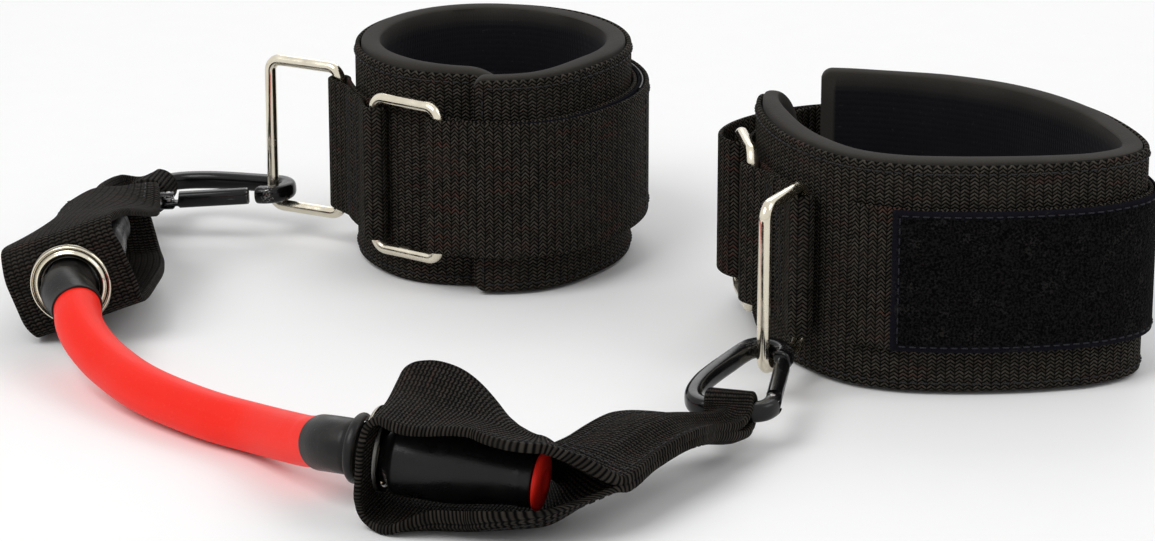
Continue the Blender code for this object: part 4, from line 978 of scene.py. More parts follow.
for side, band in bands.items():
    bar, way, inner, outer = bars_of(side)
    cinch_way = unit(outer - inner)
    lift = np.array((-cinch_way[1], cinch_way[0])) * band.outward
    base_run = np.linspace(LOAD_AT + BASE_START, band.length - GAP, 260)
    base = band.raised(base_run, STRAP_MID)
    sewn_on = strap_piece(f"sewn_strap_{side}", base, free=(True, False))
    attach(sewn_on, f"cuff_{side}")

    # Under the bar and up through the window, then round the bar to where it folds back
    below = np.radians(np.linspace(270.0, 225.0, 12))[:, None]
    under = outer + WRAP * (np.cos(below) * cinch_way + np.sin(below) * lift)
    pull = CROSS_PULL[side]
    leave = band.ahead(band.length)[0]
    crossing = bridge(base[-1], leave * pull, under[0], -cinch_way * pull)
    base_length = base_run[-1] - base_run[0]
    cross = strap_piece(f"strap_crossing_{side}", crossing, base_length, (False, False))
    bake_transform(cross)
    over = np.linspace(math.radians(270.0), FOLD_TURN[side], 60)[:, None]
    around_bar = outer + WRAP * (np.cos(over) * cinch_way + np.sin(over) * lift)
    fold_start = base_length + Course(crossing).length
    turn = strap_piece(f"strap_turn_{side}", around_bar, fold_start, (False, False))
    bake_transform(turn)
    leave = math.sin(FOLD_TURN[side]) * cinch_way - math.cos(FOLD_TURN[side]) * lift
    flap_run = np.linspace(band.length - FLAP_LANDS[side], band.length - FLAP_LENGTH, 220)
    flap = band.raised(flap_run, FLAP_MID)
    land = -band.ahead(flap_run[0])[0] * FOLD_BACK[side]
    fold = bridge(around_bar[-1], leave * FOLD_OUT[side], flap[0], land, 60)
    flap_start = fold_start + Course(around_bar).length
    closing = strap_piece(f"folded_strap_{side}", np.vstack((fold[:-1], flap)), flap_start, (False, True))
    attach(closing, f"flap_{side}")
    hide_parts(f"strap_base_{side}")
    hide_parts(f"closure_strap_{side}")

    # The strap's end is sewn in a box over the hook patch, and the sewn strap along both its edges
    top = FLAP_MID + STRAP_THICK / 2 + 0.00005
    ends_at = (band.length - FLAP_LENGTH + BOX_SEAM, band.length - FLAP_LENGTH + HOOK_LENGTH)
    edge = STRAP_WIDTH / 2 - STRAP_SEAM
    rows = [row_along(band, np.linspace(*ends_at, 60), top, MIDDLE + z) for z in (-edge, edge)]
    rows += [row_up(band, place, top, edge) for place in (*ends_at, ends_at[0] + BOX_SEAM)]
    sewn(f"flap_stitches_{side}", rows, f"flap_{side}", THREAD)


# Each ring is held by a keeper: a short piece of the same strap, folded round the ring's bar, whose two layers
# are sewn down through the band. The two keepers meet end to end between the rings.
KEEPER_PARTS = 0.012
KEEPER_PULL = 0.010


def keeper_path(band, at, stand, tail, turn):
    """In plan, out along the band, round the bar at at and stand, and back on itself to tail."""
    bar = band.raised(at, stand)[0]
    t, n = band.ahead(at)[0] * turn, band.aside(at)[0]
    low, high = STRAP_MID, STRAP_MID + STRAP_THICK + GAP
    run = np.linspace(tail, at - turn * KEEPER_PARTS, 24)
    under, over = band.raised(run, low), band.raised(run, high)
    back = -band.ahead(run[-1])[0] * turn
    wrap = np.radians(np.linspace(-90.0, 90.0, 36))[:, None]
    loop = bar + WRAP * (np.cos(wrap) * t + np.sin(wrap) * n)
    rise = bridge(under[-1], -back * KEEPER_PULL, loop[0], t * KEEPER_PULL, 16)
    fall = bridge(loop[-1], -t * KEEPER_PULL, over[-1], back * KEEPER_PULL, 16)
    return np.vstack((under[:-1], rise[:-1], loop, fall[1:], over[::-1][1:]))


for side, band in bands.items():
    seam = (LOAD_AT + CINCH_INNER) / 2
    rows = []
    for name, at, stand, tail, turn in ((f"load_keeper_{side}", LOAD_AT, LOAD_STAND, seam + GAP, 1.0),
                                        (f"cinch_keeper_{side}", CINCH_INNER, BAR_STAND, seam - GAP, -1.0)):
        folded = strap_piece(name.replace("keeper", "tab"), keeper_path(band, at, stand, tail, turn))
        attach(folded, f"cuff_{side}")
        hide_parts(name)
        top = STRAP_MID + 1.5 * STRAP_THICK + GAP + 0.00005
        rows += [row_up(band, tail + turn * back, top, STRAP_WIDTH / 2 - 0.003) for back in (0.0022, 0.0050)]
    sewn(f"keeper_stitches_{side}", rows, f"cuff_{side}", THREAD)


# The loop half of the closure is a fuzzy knitted patch, sewn on the strap with bluish black thread. The hook
# half, with its stiff nylon hooks, is sewn under the strap's free end and faces it.
def velour_material():
    """Brushed nylon loops: a black pile that catches light at a glance, matted in patches and full of lint. Its
    relief is two sizes of noise; the mask edge, from the mesh, is the smooth bluish selvedge."""
    made, tree, shader = finish_of("loop_pile_brushed", 0.95, Specular_IOR_Level=0.02, Sheen_Weight=0.01,
                                   Sheen_Roughness=0.5)
    edge, place = mask_of(tree, "edge"), place_of(tree)
    pile, matted = noise_of(tree, place, 1300.0, 3.0), noise_of(tree, place, 160.0)
    curls = put(tree, "TexVoronoi", {"Vector": place, "Scale": 1100.0}).outputs[0]
    tufts = ramp(tree, pile, 0.36, 0.66, interpolation_type="SMOOTHSTEP")
    black = between(tree, tufts, (0.0008, 0.0008, 0.0010), (0.0095, 0.0086, 0.0088))
    edged = between(tree, edge, black, (0.0060, 0.0060, 0.0095))
    lint = ramp(tree, sum_of(tree, "MULTIPLY", pile, matted), 0.31, 0.40, 0.0, 0.3)
    feed(shader, Base_Color=between(tree, lint, edged, (0.030, 0.028, 0.026)))
    height = sum_of(tree, "ADD", sum_of(tree, "MULTIPLY", matted, 1.6), sum_of(tree, "ADD", pile, curls))
    bumped(tree, shader, sum_of(tree, "MULTIPLY", height, ramp(tree, edge, low=1.0, high=0.3)), 0.0007, 0.9)
    return made


def hook_material():
    """Moulded nylon hooks: rows of dots on a woven ground, as the least distance to points of an even grid."""
    made, tree, shader = finish_of("hook_tape_moulded", 0.45)
    dots = put(tree, "TexVoronoi", {"Vector": cloth_of(tree), "Scale": 620.0, "Randomness": 0.15}).outputs[0]
    feed(shader, Base_Color=between(tree, dots, (0.030, 0.030, 0.032), (0.006, 0.006, 0.007)))
    bumped(tree, shader, sum_of(tree, "SUBTRACT", 1.0, dots), 0.0005, 0.9)
    return made


VELOUR = velour_material()
HOOK_TAPE = hook_material()
BLUE_THREAD = thread_material("bluish_thread", (0.004, 0.004, 0.007), (0.013, 0.0135, 0.020))
PATCH_WIDTH = STRAP_WIDTH - 2 * PATCH_INSET
for side, band in bands.items():
    start = LOAD_AT + BASE_START + PATCH_START
    s = even(start, band.length - PATCH_END, 0.0010)
    grid, cloth = strip(band, s, PATCH_MID, PATCH_WIDTH / 2, closed_ends(s, PATCH_THICK), 40)
    border = np.minimum(s - s[0], s[-1] - s)[:, None]
    inset = np.minimum(PATCH_WIDTH / 2 - np.abs(grid[..., 2] - MIDDLE), border)
    patch = skin(f"velour_patch_{side}", grid, cloth, masks={"edge": 1.0 - ease((inset - 0.0012) / 0.0012)})
    patch.data.materials.append(VELOUR)
    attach(patch, f"cuff_{side}")
    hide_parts(f"loop_patch_{side}")
    top = PATCH_MID + PATCH_THICK / 2 + 0.00002
    along = np.linspace(s[0] + 0.0022, s[-1] - 0.0022, 160)
    rows = [row_along(band, along, top, MIDDLE + sign * (PATCH_WIDTH / 2 - 0.0018)) for sign in (-1, 1)]
    rows += [row_up(band, place, top, PATCH_WIDTH / 2 - 0.002) for place in (along[0], along[-1])]
    sewn(f"patch_stitches_{side}", rows, f"cuff_{side}", BLUE_THREAD)

    s = even(band.length - FLAP_LENGTH + 0.0006, band.length - FLAP_LENGTH + HOOK_LENGTH, 0.0012)
    grid, cloth = strip(band, s, HOOK_MID, PATCH_WIDTH / 2, closed_ends(s, HOOK_THICK), 12)
    hooks = skin(f"nylon_hooks_{side}", grid, cloth)
    hooks.data.materials.append(HOOK_TAPE)
    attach(hooks, f"flap_{side}")
    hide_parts(f"hook_patch_{side}")


# Each stopper sits in a pocket: one length of strong webbing folded round the bulb as a long flat loop, sewn to
# itself behind it and gathered into the snap hook's eye. Its outer half is pulled down over the bulb as a hood.
POCKET_WIDTH = 0.043
LOOP_WIDTH = 0.0158
LAYER_GAP = 0.0004
EYE_PLAY = 0.0008
EYE_APPROACH = 0.016
EYE_TURN = math.radians(115.0)
HOOK_THICKNESS = 0.0064
RING_SEAT = 0.0449
SEAT_Z = CUFF_HEIGHT / 2 - RING_HEIGHT / 2 + WIRE / 2 + GAP + HOOK_THICKNESS / 2
HOOK_YAW = {"left": math.radians(-8.0), "right": math.radians(74.0)}
STRAP_BAR_Z = {"left": 0.0150, "right": 0.0140}
# What differs between the two belts, left and right, in metres, radians and shares
BELT_VALUES = {
    "roll": (math.radians(-21.0), 0.0),  # turn about the spine
    "high": (0.0158, 0.0170),            # depth over the spine, and
    "low": (0.0142, 0.0170),             # under it
    "corner": (0.0062, 0.0056),          # radius of the front corners
    "pull": (0.05, 0.20),                # share by which the corners are drawn in
    "straight": (0.069, 0.051),          # where the two layers begin to close, and
    "closed": (0.088, 0.068),            # where they meet
    "taper": (0.0042, 0.0050),           # depth lost before that
    "narrow_from": (0.036, 0.100),       # where the belt is drawn in to the eye's width, and
    "narrow_run": (0.095, 0.034),        # over what length
    "hump": (0.0, 0.0065),               # rise of the hood over the bulb
    "hood_from": (0.004, 0.016),         # where the hood begins,
    "hood_run": (0.045, 0.040),          # over what length, and
    "hood_share": (0.55, 1.0),           # how far it bends round the bulb
    "neck": (-0.12, 0.0),                # share by which the hood's near half is drawn in
    "bunch": (0.0030, 0.0012),           # waves across the belt behind the bulb
    "curl": (0.0, 0.0085),               # rise of the lower layer's near edge
    "lift": (0.0, 0.0060),               # rise of the upper layer's near edge
    "droop": (0.0070, 0.0),              # and its fall
    "shut": (0.0, 0.75),                 # share by which the lower layer closes up
    "drawn": (0.0, 0.44),                # share by which the near half is narrowed behind the bulb
}
BELT_SHAPE = {side: SimpleNamespace(**{name: pair[k] for name, pair in BELT_VALUES.items()})
              for k, side in enumerate(("left", "right"))}
BULK = 0.0005
PLEAT = 0.00045
HUMP_FROM, HUMP_LENGTH = -0.022, 0.060
CURL_RUN, LIFT_RUN, SHUT_RUN = (0.006, 0.020), (0.012, 0.024), (0.036, 0.022)
DROOP_END, BULB_END, DRAWN_RUN, DRAWN_END = (0.052, 0.020), (0.058, 0.012), (0.050, 0.034), (0.118, 0.016)
SPINE_POINTS = {"left": ((-0.1670, 0.1009, 0.0225), (-0.1703, 0.1219, 0.0180)),
                "right": ((0.0085, -0.1515, 0.0165), (0.0290, -0.1270, 0.0195))}
BELT_CLOTH = woven_material("pocket_webbing_ribbed", (0.0020, 0.0018, 0.0018), (0.036, 0.031, 0.026),
                            (0.056, 0.028, 0.021), 0.0026, 0.00125, 0.30, 0.50)


def hook_line(side):
    """The snap hook's direction and its strap bar, from where it holds the load ring."""
    bar, way = bars_of(side)[:2]
    held = bar + LOAD_PITCH * way
    flat = math.sqrt(RING_SEAT**2 - (SEAT_Z - STRAP_BAR_Z[side])**2)
    yaw = HOOK_YAW[side]
    strap_bar = np.array((held[0] - flat * math.cos(yaw), held[1] - flat * math.sin(yaw), STRAP_BAR_Z[side]))
    return unit(np.array((*held, SEAT_Z)) - strap_bar), strap_bar


def belt_outline(shape, length):
    """The middle of the folded belt in its own plane, along and up: a flat wall with the grommet, two round
    corners, the long sides, and the eye as part of a circle round the hook's bar."""
    layer = (POCKET_THICK + LAYER_GAP) / 2
    loop = HOOK_THICKNESS / 2 + EYE_PLAY + POCKET_THICK / 2
    turn, pull, bend = EYE_TURN, 0.010, shape.corner
    eye = arc((length, 0.0), loop, np.linspace(turn, 0.0, 20))
    halves = []
    for half in (shape.high, shape.low):
        corner = arc((bend, half - bend), bend, np.linspace(math.pi, math.pi / 2, 14))
        run = np.linspace(bend, length - EYE_APPROACH, 110)[1:]
        taper = shape.taper if half > BULB_OD / 2 + 0.003 else 0.0
        wall = half - taper * ease((run - bend) / shape.straight)
        wall = layer + (wall - layer) * (1.0 - ease((run - shape.straight) / (shape.closed - shape.straight)))
        rise = bridge(np.array((run[-1], wall[-1])), np.array((pull, 0.0)), eye[0],
                      pull * np.array((math.sin(turn), -math.cos(turn))), 16)
        front = np.column_stack((np.zeros(12), np.linspace(0.0, half - bend, 12)))
        halves.append(np.vstack((front[:-1], corner, np.column_stack((run, wall)), rise[1:-1], eye)))
    return np.vstack((halves[0], halves[1][1:-1][::-1] * (1.0, -1.0)))


class Belt:
    """A pocket's belt. place gives points at shares of its half width and offsets square to its middle line:
    the inner half is a ruled sheet along the spine, the outer half bends round the bulb with the radius that
    the height there gives."""

    def __init__(self, side):
        centre, way = end_axis(side)
        hook_way, bar = hook_line(side)
        self.shape = BELT_SHAPE[side]
        straight = [centre + way * s for s in np.linspace(0.0, self.shape.straight, 4)]
        points = np.vstack((straight, SPINE_POINTS[side], bar - 0.012 * hook_way, bar, bar + 0.012 * hook_way))
        self.spine = Course(through(points, 12))
        self.length = self.spine.s[np.argmin(np.linalg.norm(self.spine.points - bar, axis=1))]
        self.outline = belt_outline(self.shape, self.length)
        step = np.roll(self.outline, -1, 0) - np.roll(self.outline, 1, 0)
        self.out = unit(np.column_stack((-step[:, 1], step[:, 0])))
        self.s = np.append(0.0, np.cumsum(np.linalg.norm(np.diff(self.outline, axis=0), axis=1)))

    def grown(self, start, over):
        """Along the outline: 0 up to start, and 1 after over more."""
        return ease((self.outline[:, 0] - start) / over)

    def place(self, offset, share):
        shape, grown = self.shape, self.grown
        run, height = self.outline.T
        share = np.broadcast_to(share, run.shape)
        near, above, below = np.clip(-share, 0.0, 1.0), height > 0.0, height < 0.0
        self.width = POCKET_WIDTH + (LOOP_WIDTH - POCKET_WIDTH) * grown(shape.narrow_from, shape.narrow_run)
        over = above * (1.0 - grown(shape.straight, shape.closed - shape.straight))
        over = over * grown(shape.hood_from, shape.hood_run)
        offset = offset * (1.0 + BULK / (POCKET_THICK / 2) * grown(0.001, 0.008))
        along, up = (self.outline + self.out * np.reshape(offset, (-1, 1))).T
        # At the bulb: the lower layer's near edge curls and shuts, the upper one's lifts or droops
        bulb = 1.0 - grown(*BULB_END)
        up = up + shape.curl * grown(*CURL_RUN) * bulb * below * near**5
        up = up + shape.lift * grown(*LIFT_RUN) * bulb * above * near
        up = up - shape.droop * over * near**2 * (1.0 - grown(*DROOP_END))
        up = up * (1.0 - shape.shut * grown(*SHUT_RUN) * bulb * below * near**1.5)
        # Behind it: waves across the belt, and its near half drawn in
        waved = grown(shape.closed, 0.015) * (1.0 - grown(self.length - 0.014, 0.010))
        up = up + shape.bunch * waved * np.sin(4.4 * share + 0.9)
        folds = np.exp(-((run - 0.002) / 0.006) ** 2) * ease((np.abs(height) - 0.006) / 0.008)
        across = share * self.width / 2 * (1.0 - shape.pull * folds * share**2)
        drawn = grown(*DRAWN_RUN) * (1.0 - grown(*DRAWN_END)) * (share < 0.0)
        across = across * (1.0 - shape.drawn * drawn)
        # The outer half bends down as the hood
        hood = np.maximum(over * shape.hood_share, 1e-4)
        bend = hood * across / np.maximum(height, 0.004)
        radius = np.maximum(height, 0.004) / hood + up - height
        swell = np.sin(math.pi * np.clip((run - HUMP_FROM) / HUMP_LENGTH, 0.0, 1.0))
        hump = shape.hump * swell * ease(height / shape.high)
        outer = share > 0
        up = np.where(outer, up - radius * (1.0 - np.cos(bend)) + hump * share * ease(0.3 + share), up)
        across = np.where(outer, radius * np.sin(bend), across * (1.0 - shape.neck * over))
        base, ahead = self.spine.at(along), self.spine.ahead(along)
        level = unit(np.column_stack((-ahead[:, 1], ahead[:, 0], 0 * ahead[:, 0])))
        upward = np.cross(ahead, level)
        roll = (shape.roll * (1.0 - grown(0.0, 0.7 * self.length)))[:, None]
        lean = np.sin(roll) * upward + np.cos(roll) * level
        rise = np.cos(roll) * upward - np.sin(roll) * level
        return base + across[:, None] * lean + up[:, None] * rise


def bored(made, tools):
    """The piece with its holes drilled for good: exact differences, applied. The tools are removed."""
    for tool in tools:
        cut = made.modifiers.new("hole", "BOOLEAN")
        cut.operation, cut.object, cut.solver = "DIFFERENCE", tool, "EXACT"
    bpy.context.view_layer.update()
    shape = made.evaluated_get(bpy.context.evaluated_depsgraph_get())
    mesh = bpy.data.meshes.new_from_object(shape)
    made.modifiers.clear()
    made.data = mesh
    mesh.set_sharp_from_angle(angle=math.radians(40.0))
    for tool in tools:
        bpy.data.objects.remove(tool)
    return made


belts = {side: Belt(side) for side in ("left", "right")}
for side, belt in belts.items():
    half, shape = POCKET_THICK / 2, belt.shape
    run, height = belt.outline.T
    belt.place(0.0, 0.0)
    share = np.linspace(-1.0, 1.0, 37)
    round_over = 1.0 - half / (belt.width / 2)
    edge = np.radians(np.linspace(90.0, -90.0, 7))[1:-1]
    # Gathers run along the belt where it is drawn in, deepest on the outside of the hood
    gather = belt.grown(shape.narrow_from, shape.narrow_run) * (1.0 - belt.grown(belt.length - 0.018, 0.012))
    pleats = PLEAT * np.sin(7.0 * share + 0.6)[:, None] * gather
    columns = [belt.place(half + pleat, k * round_over) for k, pleat in zip(share[::-1], pleats[::-1])]
    columns += [belt.place(half * math.sin(a), -round_over - (1 - round_over) * math.cos(a)) for a in edge]
    columns += [belt.place(-half + pleat, k * round_over) for k, pleat in zip(share, pleats)]
    columns += [belt.place(half * math.sin(a), round_over + (1 - round_over) * math.cos(a)) for a in edge[::-1]]
    grid = np.stack(columns, axis=1)
    past_edge = np.full(5, 1.02)
    across = np.concatenate((share[::-1], -past_edge, share, past_edge, (1.0,))) * POCKET_WIDTH / 2
    cloth = paired(across, np.append(belt.s, belt.s[-1] + 0.001)[:, None])
    webbing = skin(f"belt_webbing_{side}", grid, cloth, loop=True)
    ends_of_drill = np.array((0.004, 0.016))
    hole = skin("drill", turned_about(bore_axis(side), ends_of_drill, HOLE / 2 + GROMMET_WALL + GAP, 64))
    bored(webbing, [hole])
    webbing.data.materials.clear()
    webbing.data.materials.append(BELT_CLOTH)
    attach(webbing, f"pocket_{side}")
    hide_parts(f"pocket_webbing_{side}")

    # Both layers are sewn together behind the bulb: across twice, and along both edges up to the eye
    rows = []
    for sign in (1.0, -1.0):
        on = np.sign(height) == sign
        for at in (shape.closed + 0.003, shape.closed + 0.006):
            k = int(np.argmin(np.where(on, np.abs(run - at), 9.0)))
            line = np.array([belt.place(half, share_of)[k] for share_of in np.linspace(-0.8, 0.8, 9)])
            rows.append(stitch_row(line, unit(belt.place(half + 0.001, 0.0)[k] - belt.place(half, 0.0)[k])))
        sewn_part = on & (run > shape.straight - 0.012) & (run < belt.length - 0.015)
        for share_of in (-0.76, 0.76):
            low, high = belt.place(half, share_of)[sewn_part], belt.place(half + 0.001, share_of)[sewn_part]
            rows.append(stitch_row(low, unit(high - low)))
    sewn(f"pocket_stitches_{side}", rows, f"pocket_{side}", THREAD)


# Each snap hook is a pear-shaped bar, drop forged, enamelled gloss black. Its end is split for the knuckle of a
# sprung gate, which turns on a peened steel pin and shuts against the hook's nose.
HOOK_BAR = 0.0060
HOOK_HALF = 0.0110
TIP_ROUND = 0.0009
NOSE_AT = 0.0435
NOSE_RADIUS = 0.0070
NOSE_FROM, NOSE_TO = math.radians(68.0), math.radians(-115.0)
GATE_WIDTH = 0.0050
GATE_END = 0.0375
GATE_DROP = 0.0037
PIN_AT = (0.0080, -0.0120)
KNUCKLE_THICK = 0.0018
KNUCKLE_END = 0.0034
SLOT = 0.0046
PIN_RADIUS = 0.0010
PIN_HOLE = 0.0013
SPRING_WIRE = 0.00055
SPRING_RADIUS = 0.00185
SPRING_PITCH = 0.0010
SPRING_TURNS = 1.5
HOOK_PATH = ((0.0102, -0.0122), (0.0060, -0.0122), (0.0022, -0.0106), (0.0004, -HOOK_HALF + 0.0035),
             (0.0, -0.0030), (0.0, 0.0035), (0.0006, HOOK_HALF - 0.0025), (0.0034, HOOK_HALF + 0.0012),
             (0.0095, 0.0140), (0.0185, 0.0137), (0.0275, 0.0117), (0.0360, 0.0092))


def enamel_material():
    """Gloss black enamel over a forging: deep black with a clear coat, soft waves of the cast skin under it,
    and bare grey metal where the mask rub, from the mesh, and grain say that the ring has rubbed it."""
    made, tree, shader = finish_of("black_enamel_gloss", 0.24, Coat_Weight=0.16, Coat_Roughness=0.06,
                                   Specular_IOR_Level=0.18)
    use = handled(tree, 0.008)
    bare = ramp(tree, sum_of(tree, "MULTIPLY", mask_of(tree, "rub"), use["Grain"]), 0.50, 0.60)
    worn = sum_of(tree, "MAXIMUM", bare, ramp(tree, use["Scratch"], 0.4, 1.0, 0.0, 0.25))
    black = between(tree, use["Smear"], (0.0016, 0.0016, 0.0019), (0.0045, 0.0045, 0.005))
    feed(shader, Base_Color=between(tree, worn, black, (0.16, 0.155, 0.15)),
         Metallic=ramp(tree, worn, high=0.8), Roughness=ramp(tree, use["Smear"], 0.3, 0.7, 0.14, 0.28))
    bumped(tree, shader, sum_of(tree, "MULTIPLY_ADD", use["Grain"], 0.2, use["Smear"]), 0.00025, 0.5)
    return made


def section(radius_a, radius_b, sides, power):
    """A superellipse: |x/a|^power + |y/b|^power = 1, as points for each pair of radii."""
    a = (np.arange(sides) + 0.5) * 2 * math.pi / sides
    c, s = np.cos(a), np.sin(a)
    x = np.sign(c) * np.abs(c) ** (2 / power)
    y = np.sign(s) * np.abs(s) ** (2 / power)
    return np.outer(radius_a, x), np.outer(radius_b, y)


def set_of(origin, x, z):
    """A frame as an origin and three rows: X, Y and Z."""
    x = unit(x)
    y = unit(np.cross(z, x))
    return np.asarray(origin, float), np.stack((x, y, np.cross(x, y)))


def laid(points, placed):
    return placed[0] + points @ placed[1]


def drill_at(placed, x, y, radius, half):
    """A round drill along the hook's Z axis."""
    ring = np.column_stack((arc((x, y), radius, around(32)), np.full(32, -half)))
    return skin("drill", np.stack((laid(ring, placed), laid(ring + (0.0, 0.0, 2 * half), placed))))


def block_at(placed, low, high):
    """A square cutter between two corners in the hook's frame."""
    x, y, z = np.array((low, high)).T
    ring = [[(x[i], y[k], z[j]) for i, j in ((0, 0), (0, 1), (1, 1), (1, 0))] for k in (0, 1)]
    return skin("drill", laid(np.array(ring), placed))


def forged_hook(name, placed):
    """A rounded bar along the hook's outline, a Catmull-Rom curve and then an arc for the nose."""
    body = through(HOOK_PATH, 10)
    nose = arc((NOSE_AT, -0.0005), NOSE_RADIUS, np.linspace(NOSE_FROM, NOSE_TO, 50))
    joining = bridge(body[-1], np.array((0.010, -0.0028)), nose[0], np.array((0.0093, -0.0037)), 16)
    flat = np.vstack((body[:-1], joining[:-1], nose))
    walk = Course(np.column_stack((flat, np.zeros(len(flat)))))
    near = TIP_ROUND * (1 - np.cos(np.linspace(0.0, math.pi / 2, 6)))
    body = np.linspace(TIP_ROUND, walk.length - TIP_ROUND, 150)
    s = np.concatenate((near[:-1], body, walk.length - near[::-1][1:]))
    tip = np.clip(1.0 - np.minimum(s, walk.length - s) / TIP_ROUND, 0.0, 1.0)
    shrink = TIP_ROUND * (1.0 - np.sqrt(1.0 - tip**2 * 0.98))
    up, wide = section(HOOK_THICKNESS / 2 - shrink, HOOK_BAR / 2 - shrink, 36, 2.8)
    ahead = walk.ahead(s, 0.0003)
    third = np.cross(ahead, (0.0, 0.0, 1.0))
    grid = walk.at(s)[:, None] + up[..., None] * np.array((0.0, 0.0, 1.0)) + wide[..., None] * third[:, None]
    rub = np.exp(-((grid[..., 0] - RING_SEAT) / 0.005) ** 2) * (grid[..., 0] < NOSE_AT + NOSE_RADIUS - 0.001)
    made = skin(name, laid(grid, placed), round_cloth(s, HOOK_BAR / 2, 36), masks={"rub": rub})
    x, y = PIN_AT
    slot = block_at(placed, (x - 0.0031, y - 0.006, -SLOT / 2), (x + 0.0060, y + 0.006, SLOT / 2))
    return bored(made, [slot, drill_at(placed, x, y, PIN_HOLE, 0.006)])


def rounded_gate(name, placed):
    """A flat bar, its edges rounded, from a thin round knuckle at the pin to a blunt end."""
    length = math.hypot(GATE_END - PIN_AT[0], GATE_DROP)
    half = GATE_WIDTH / 2
    low, thin = -SLOT / 2 + 0.0002, -SLOT / 2 + 0.0002 + KNUCKLE_THICK
    top = HOOK_THICKNESS / 2 - 0.0002
    a = np.radians(np.linspace(8.0, 90.0, 12))
    stations = [(-half * math.cos(k), half * math.sin(k), low, thin) for k in a]
    stations += [(KNUCKLE_END, half, low, thin), (0.0040, half, -top, top), (0.0060, half, -top, top),
                 (0.5 * length, half, -top, top), (length - 0.0020, half, -top, top),
                 (length - 0.0004, half - 0.0005, -top, top),
                 (length, half - 0.0012, -top + 0.0006, top - 0.0006)]
    u, w, low, high = np.array(stations).T
    across, rise = section(w, (high - low) / 2, 28, 2.9)
    grid = np.stack((np.repeat(u[:, None], 28, axis=1), across, rise + (low + high)[:, None] / 2), axis=-1)
    made = skin(name, laid(grid, placed), masks={"rub": np.exp(-((grid[..., 0] - length) / 0.003) ** 2)})
    return bored(made, [drill_at(placed, 0.0, 0.0, PIN_HOLE, 0.006)])


def lathe(name, profile, placed, sides=40):
    """A profile of (height, radius) turned round the frame's Z axis; a radius near nought closes an end."""
    z, r = np.asarray(profile, float).T
    a = around(sides)
    points = np.stack(np.broadcast_arrays(np.outer(r, np.cos(a)), np.outer(r, np.sin(a)), z[:, None]), axis=-1)
    return skin(name, laid(points, placed))


def coil(name, placed):
    """A torsion spring: a helix of round wire, its ends cut square."""
    turns = np.linspace(0.0, SPRING_TURNS * 2 * math.pi, 70)
    floor = -SLOT / 2 + 0.0002 + KNUCKLE_THICK + GAP + SPRING_WIRE / 2
    rising = floor + SPRING_PITCH * turns / (2 * math.pi)
    walk = Course(np.column_stack((arc((0.0, 0.0), SPRING_RADIUS, turns), rising)))
    return skin(name, laid(turned_about(walk, walk.s, SPRING_WIRE / 2, 12, 0.0001), placed))


def steel_material():
    """Bare steel, turned and peened: grey, streaked by its drawing, with darker smears of oil."""
    made, tree, shader = finish_of("pin_steel_drawn", 0.3, 1.0)
    use = handled(tree, 0.003)
    feed(shader, Base_Color=between(tree, use["Smear"], (0.42, 0.42, 0.43), (0.22, 0.21, 0.20)),
         Roughness=ramp(tree, use["Grain"], low=0.22, high=0.45))
    bumped(tree, shader, use["Grain"], 0.00004, 0.6)
    return made


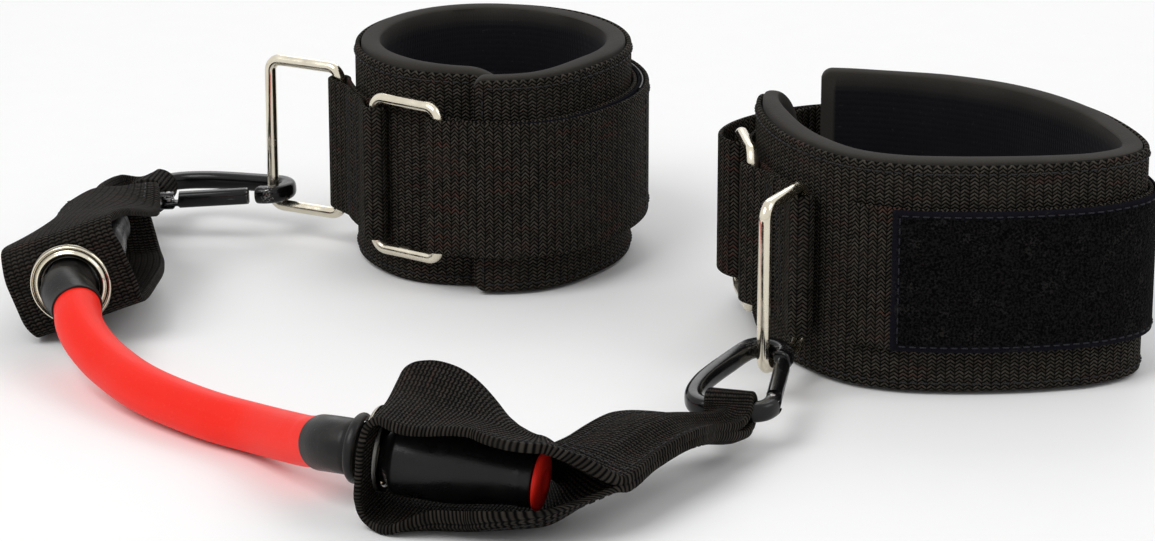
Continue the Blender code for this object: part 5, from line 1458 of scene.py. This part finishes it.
ENAMEL = enamel_material()
STEEL = steel_material()
for side in ("left", "right"):
    hook_way, bar = hook_line(side)
    placed = set_of(bar, hook_way, (0.0, 0.0, 1.0))
    pin_at = laid(np.array((*PIN_AT, 0.0)), placed)
    lean = math.atan2(GATE_DROP, GATE_END - PIN_AT[0])
    x, y, z = placed[1]
    at_pin = (pin_at, placed[1])
    c, s = math.cos(lean), math.sin(lean)
    at_gate = (pin_at, np.stack((c * x + s * y, c * y - s * x, z)))
    peen = HOOK_THICKNESS / 2 - 0.0003
    a = np.radians(np.linspace(0.0, 88.0, 8))
    head = np.column_stack((peen + 0.0004 * np.sin(a), PIN_RADIUS * np.cos(a)))
    profile = np.vstack((head[::-1] * (-1.0, 1.0), head))
    for piece, node, body, slot, finish in (
            (forged_hook(f"forged_hook_{side}", placed), "snap_frame", "hook", "black_enamel", ENAMEL),
            (rounded_gate(f"sprung_gate_{side}", at_gate), "snap_gate", "gate", "black_enamel", ENAMEL),
            (lathe(f"peened_pin_{side}", profile, at_pin), "gate_pin", "hook", "pin_steel", STEEL),
            (coil(f"gate_coil_{side}", at_gate), "gate_spring", "gate", "pin_steel", STEEL)):
        piece.data.materials.clear()
        piece.data.materials.append(finish)
        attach(piece, f"{body}_{side}")
        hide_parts(f"{node}_{side}")


# The set lies on a plain white studio floor under large soft lights.
def floor_material():
    """Matt white paper, a shade darker where its fibres clump, so that only shadows mark it."""
    made, tree, shader = finish_of("paper_floor", 0.9, Specular_IOR_Level=0.1)
    fibres = noise_of(tree, place_of(tree), 60.0)
    feed(shader, Base_Color=between(tree, fibres, (0.955, 0.955, 0.955), (0.97, 0.97, 0.97)))
    return made


x, y = np.meshgrid(np.linspace(-6.0, 6.0, 9), np.linspace(-5.0, 7.0, 9), indexing="ij")
paper = skin("paper_floor", np.stack((x, y, np.full_like(x, -0.0002)), axis=-1), ring=False)
paper.data.materials.append(floor_material())
paper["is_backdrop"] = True

world = bpy.data.worlds.new("studio")
bpy.context.scene.world = world
world.use_nodes = True
sky = world.node_tree
ray = put(sky, "LightPath").outputs
reflected = sum_of(sky, "MAXIMUM", ray["Is Glossy Ray"], ray["Is Transmission Ray"])
seen = sum_of(sky, "MAXIMUM", ray["Is Camera Ray"], reflected)
backdrop = sky.nodes["Background"]
backdrop.inputs["Color"].default_value = (1.0, 1.0, 1.0, 1.0)
feed(backdrop, Strength=ramp(sky, seen, low=0.50))
LIGHTS = (("key_light", (-0.9, -0.9, 1.6), 1.1, 18.0), ("fill_light", (1.2, -0.3, 1.2), 0.9, 5.0),
          ("back_light", (0.1, 1.3, 1.1), 1.2, 6.0))
for name, where, size, power in LIGHTS:
    lamp = bpy.data.lights.new(name, "AREA")
    lamp.size, lamp.energy = size, power
    made = bpy.data.objects.new(name, lamp)
    bpy.context.scene.collection.objects.link(made)
    made.location = where
    target = -np.array(where) + (0.0, 0.0, 0.04)
    made.rotation_euler = (math.acos(-unit(target)[2]), 0.0, math.atan2(target[1], target[0]) - math.pi / 2)
bpy.context.scene.view_settings.view_transform = "Standard"

low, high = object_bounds()
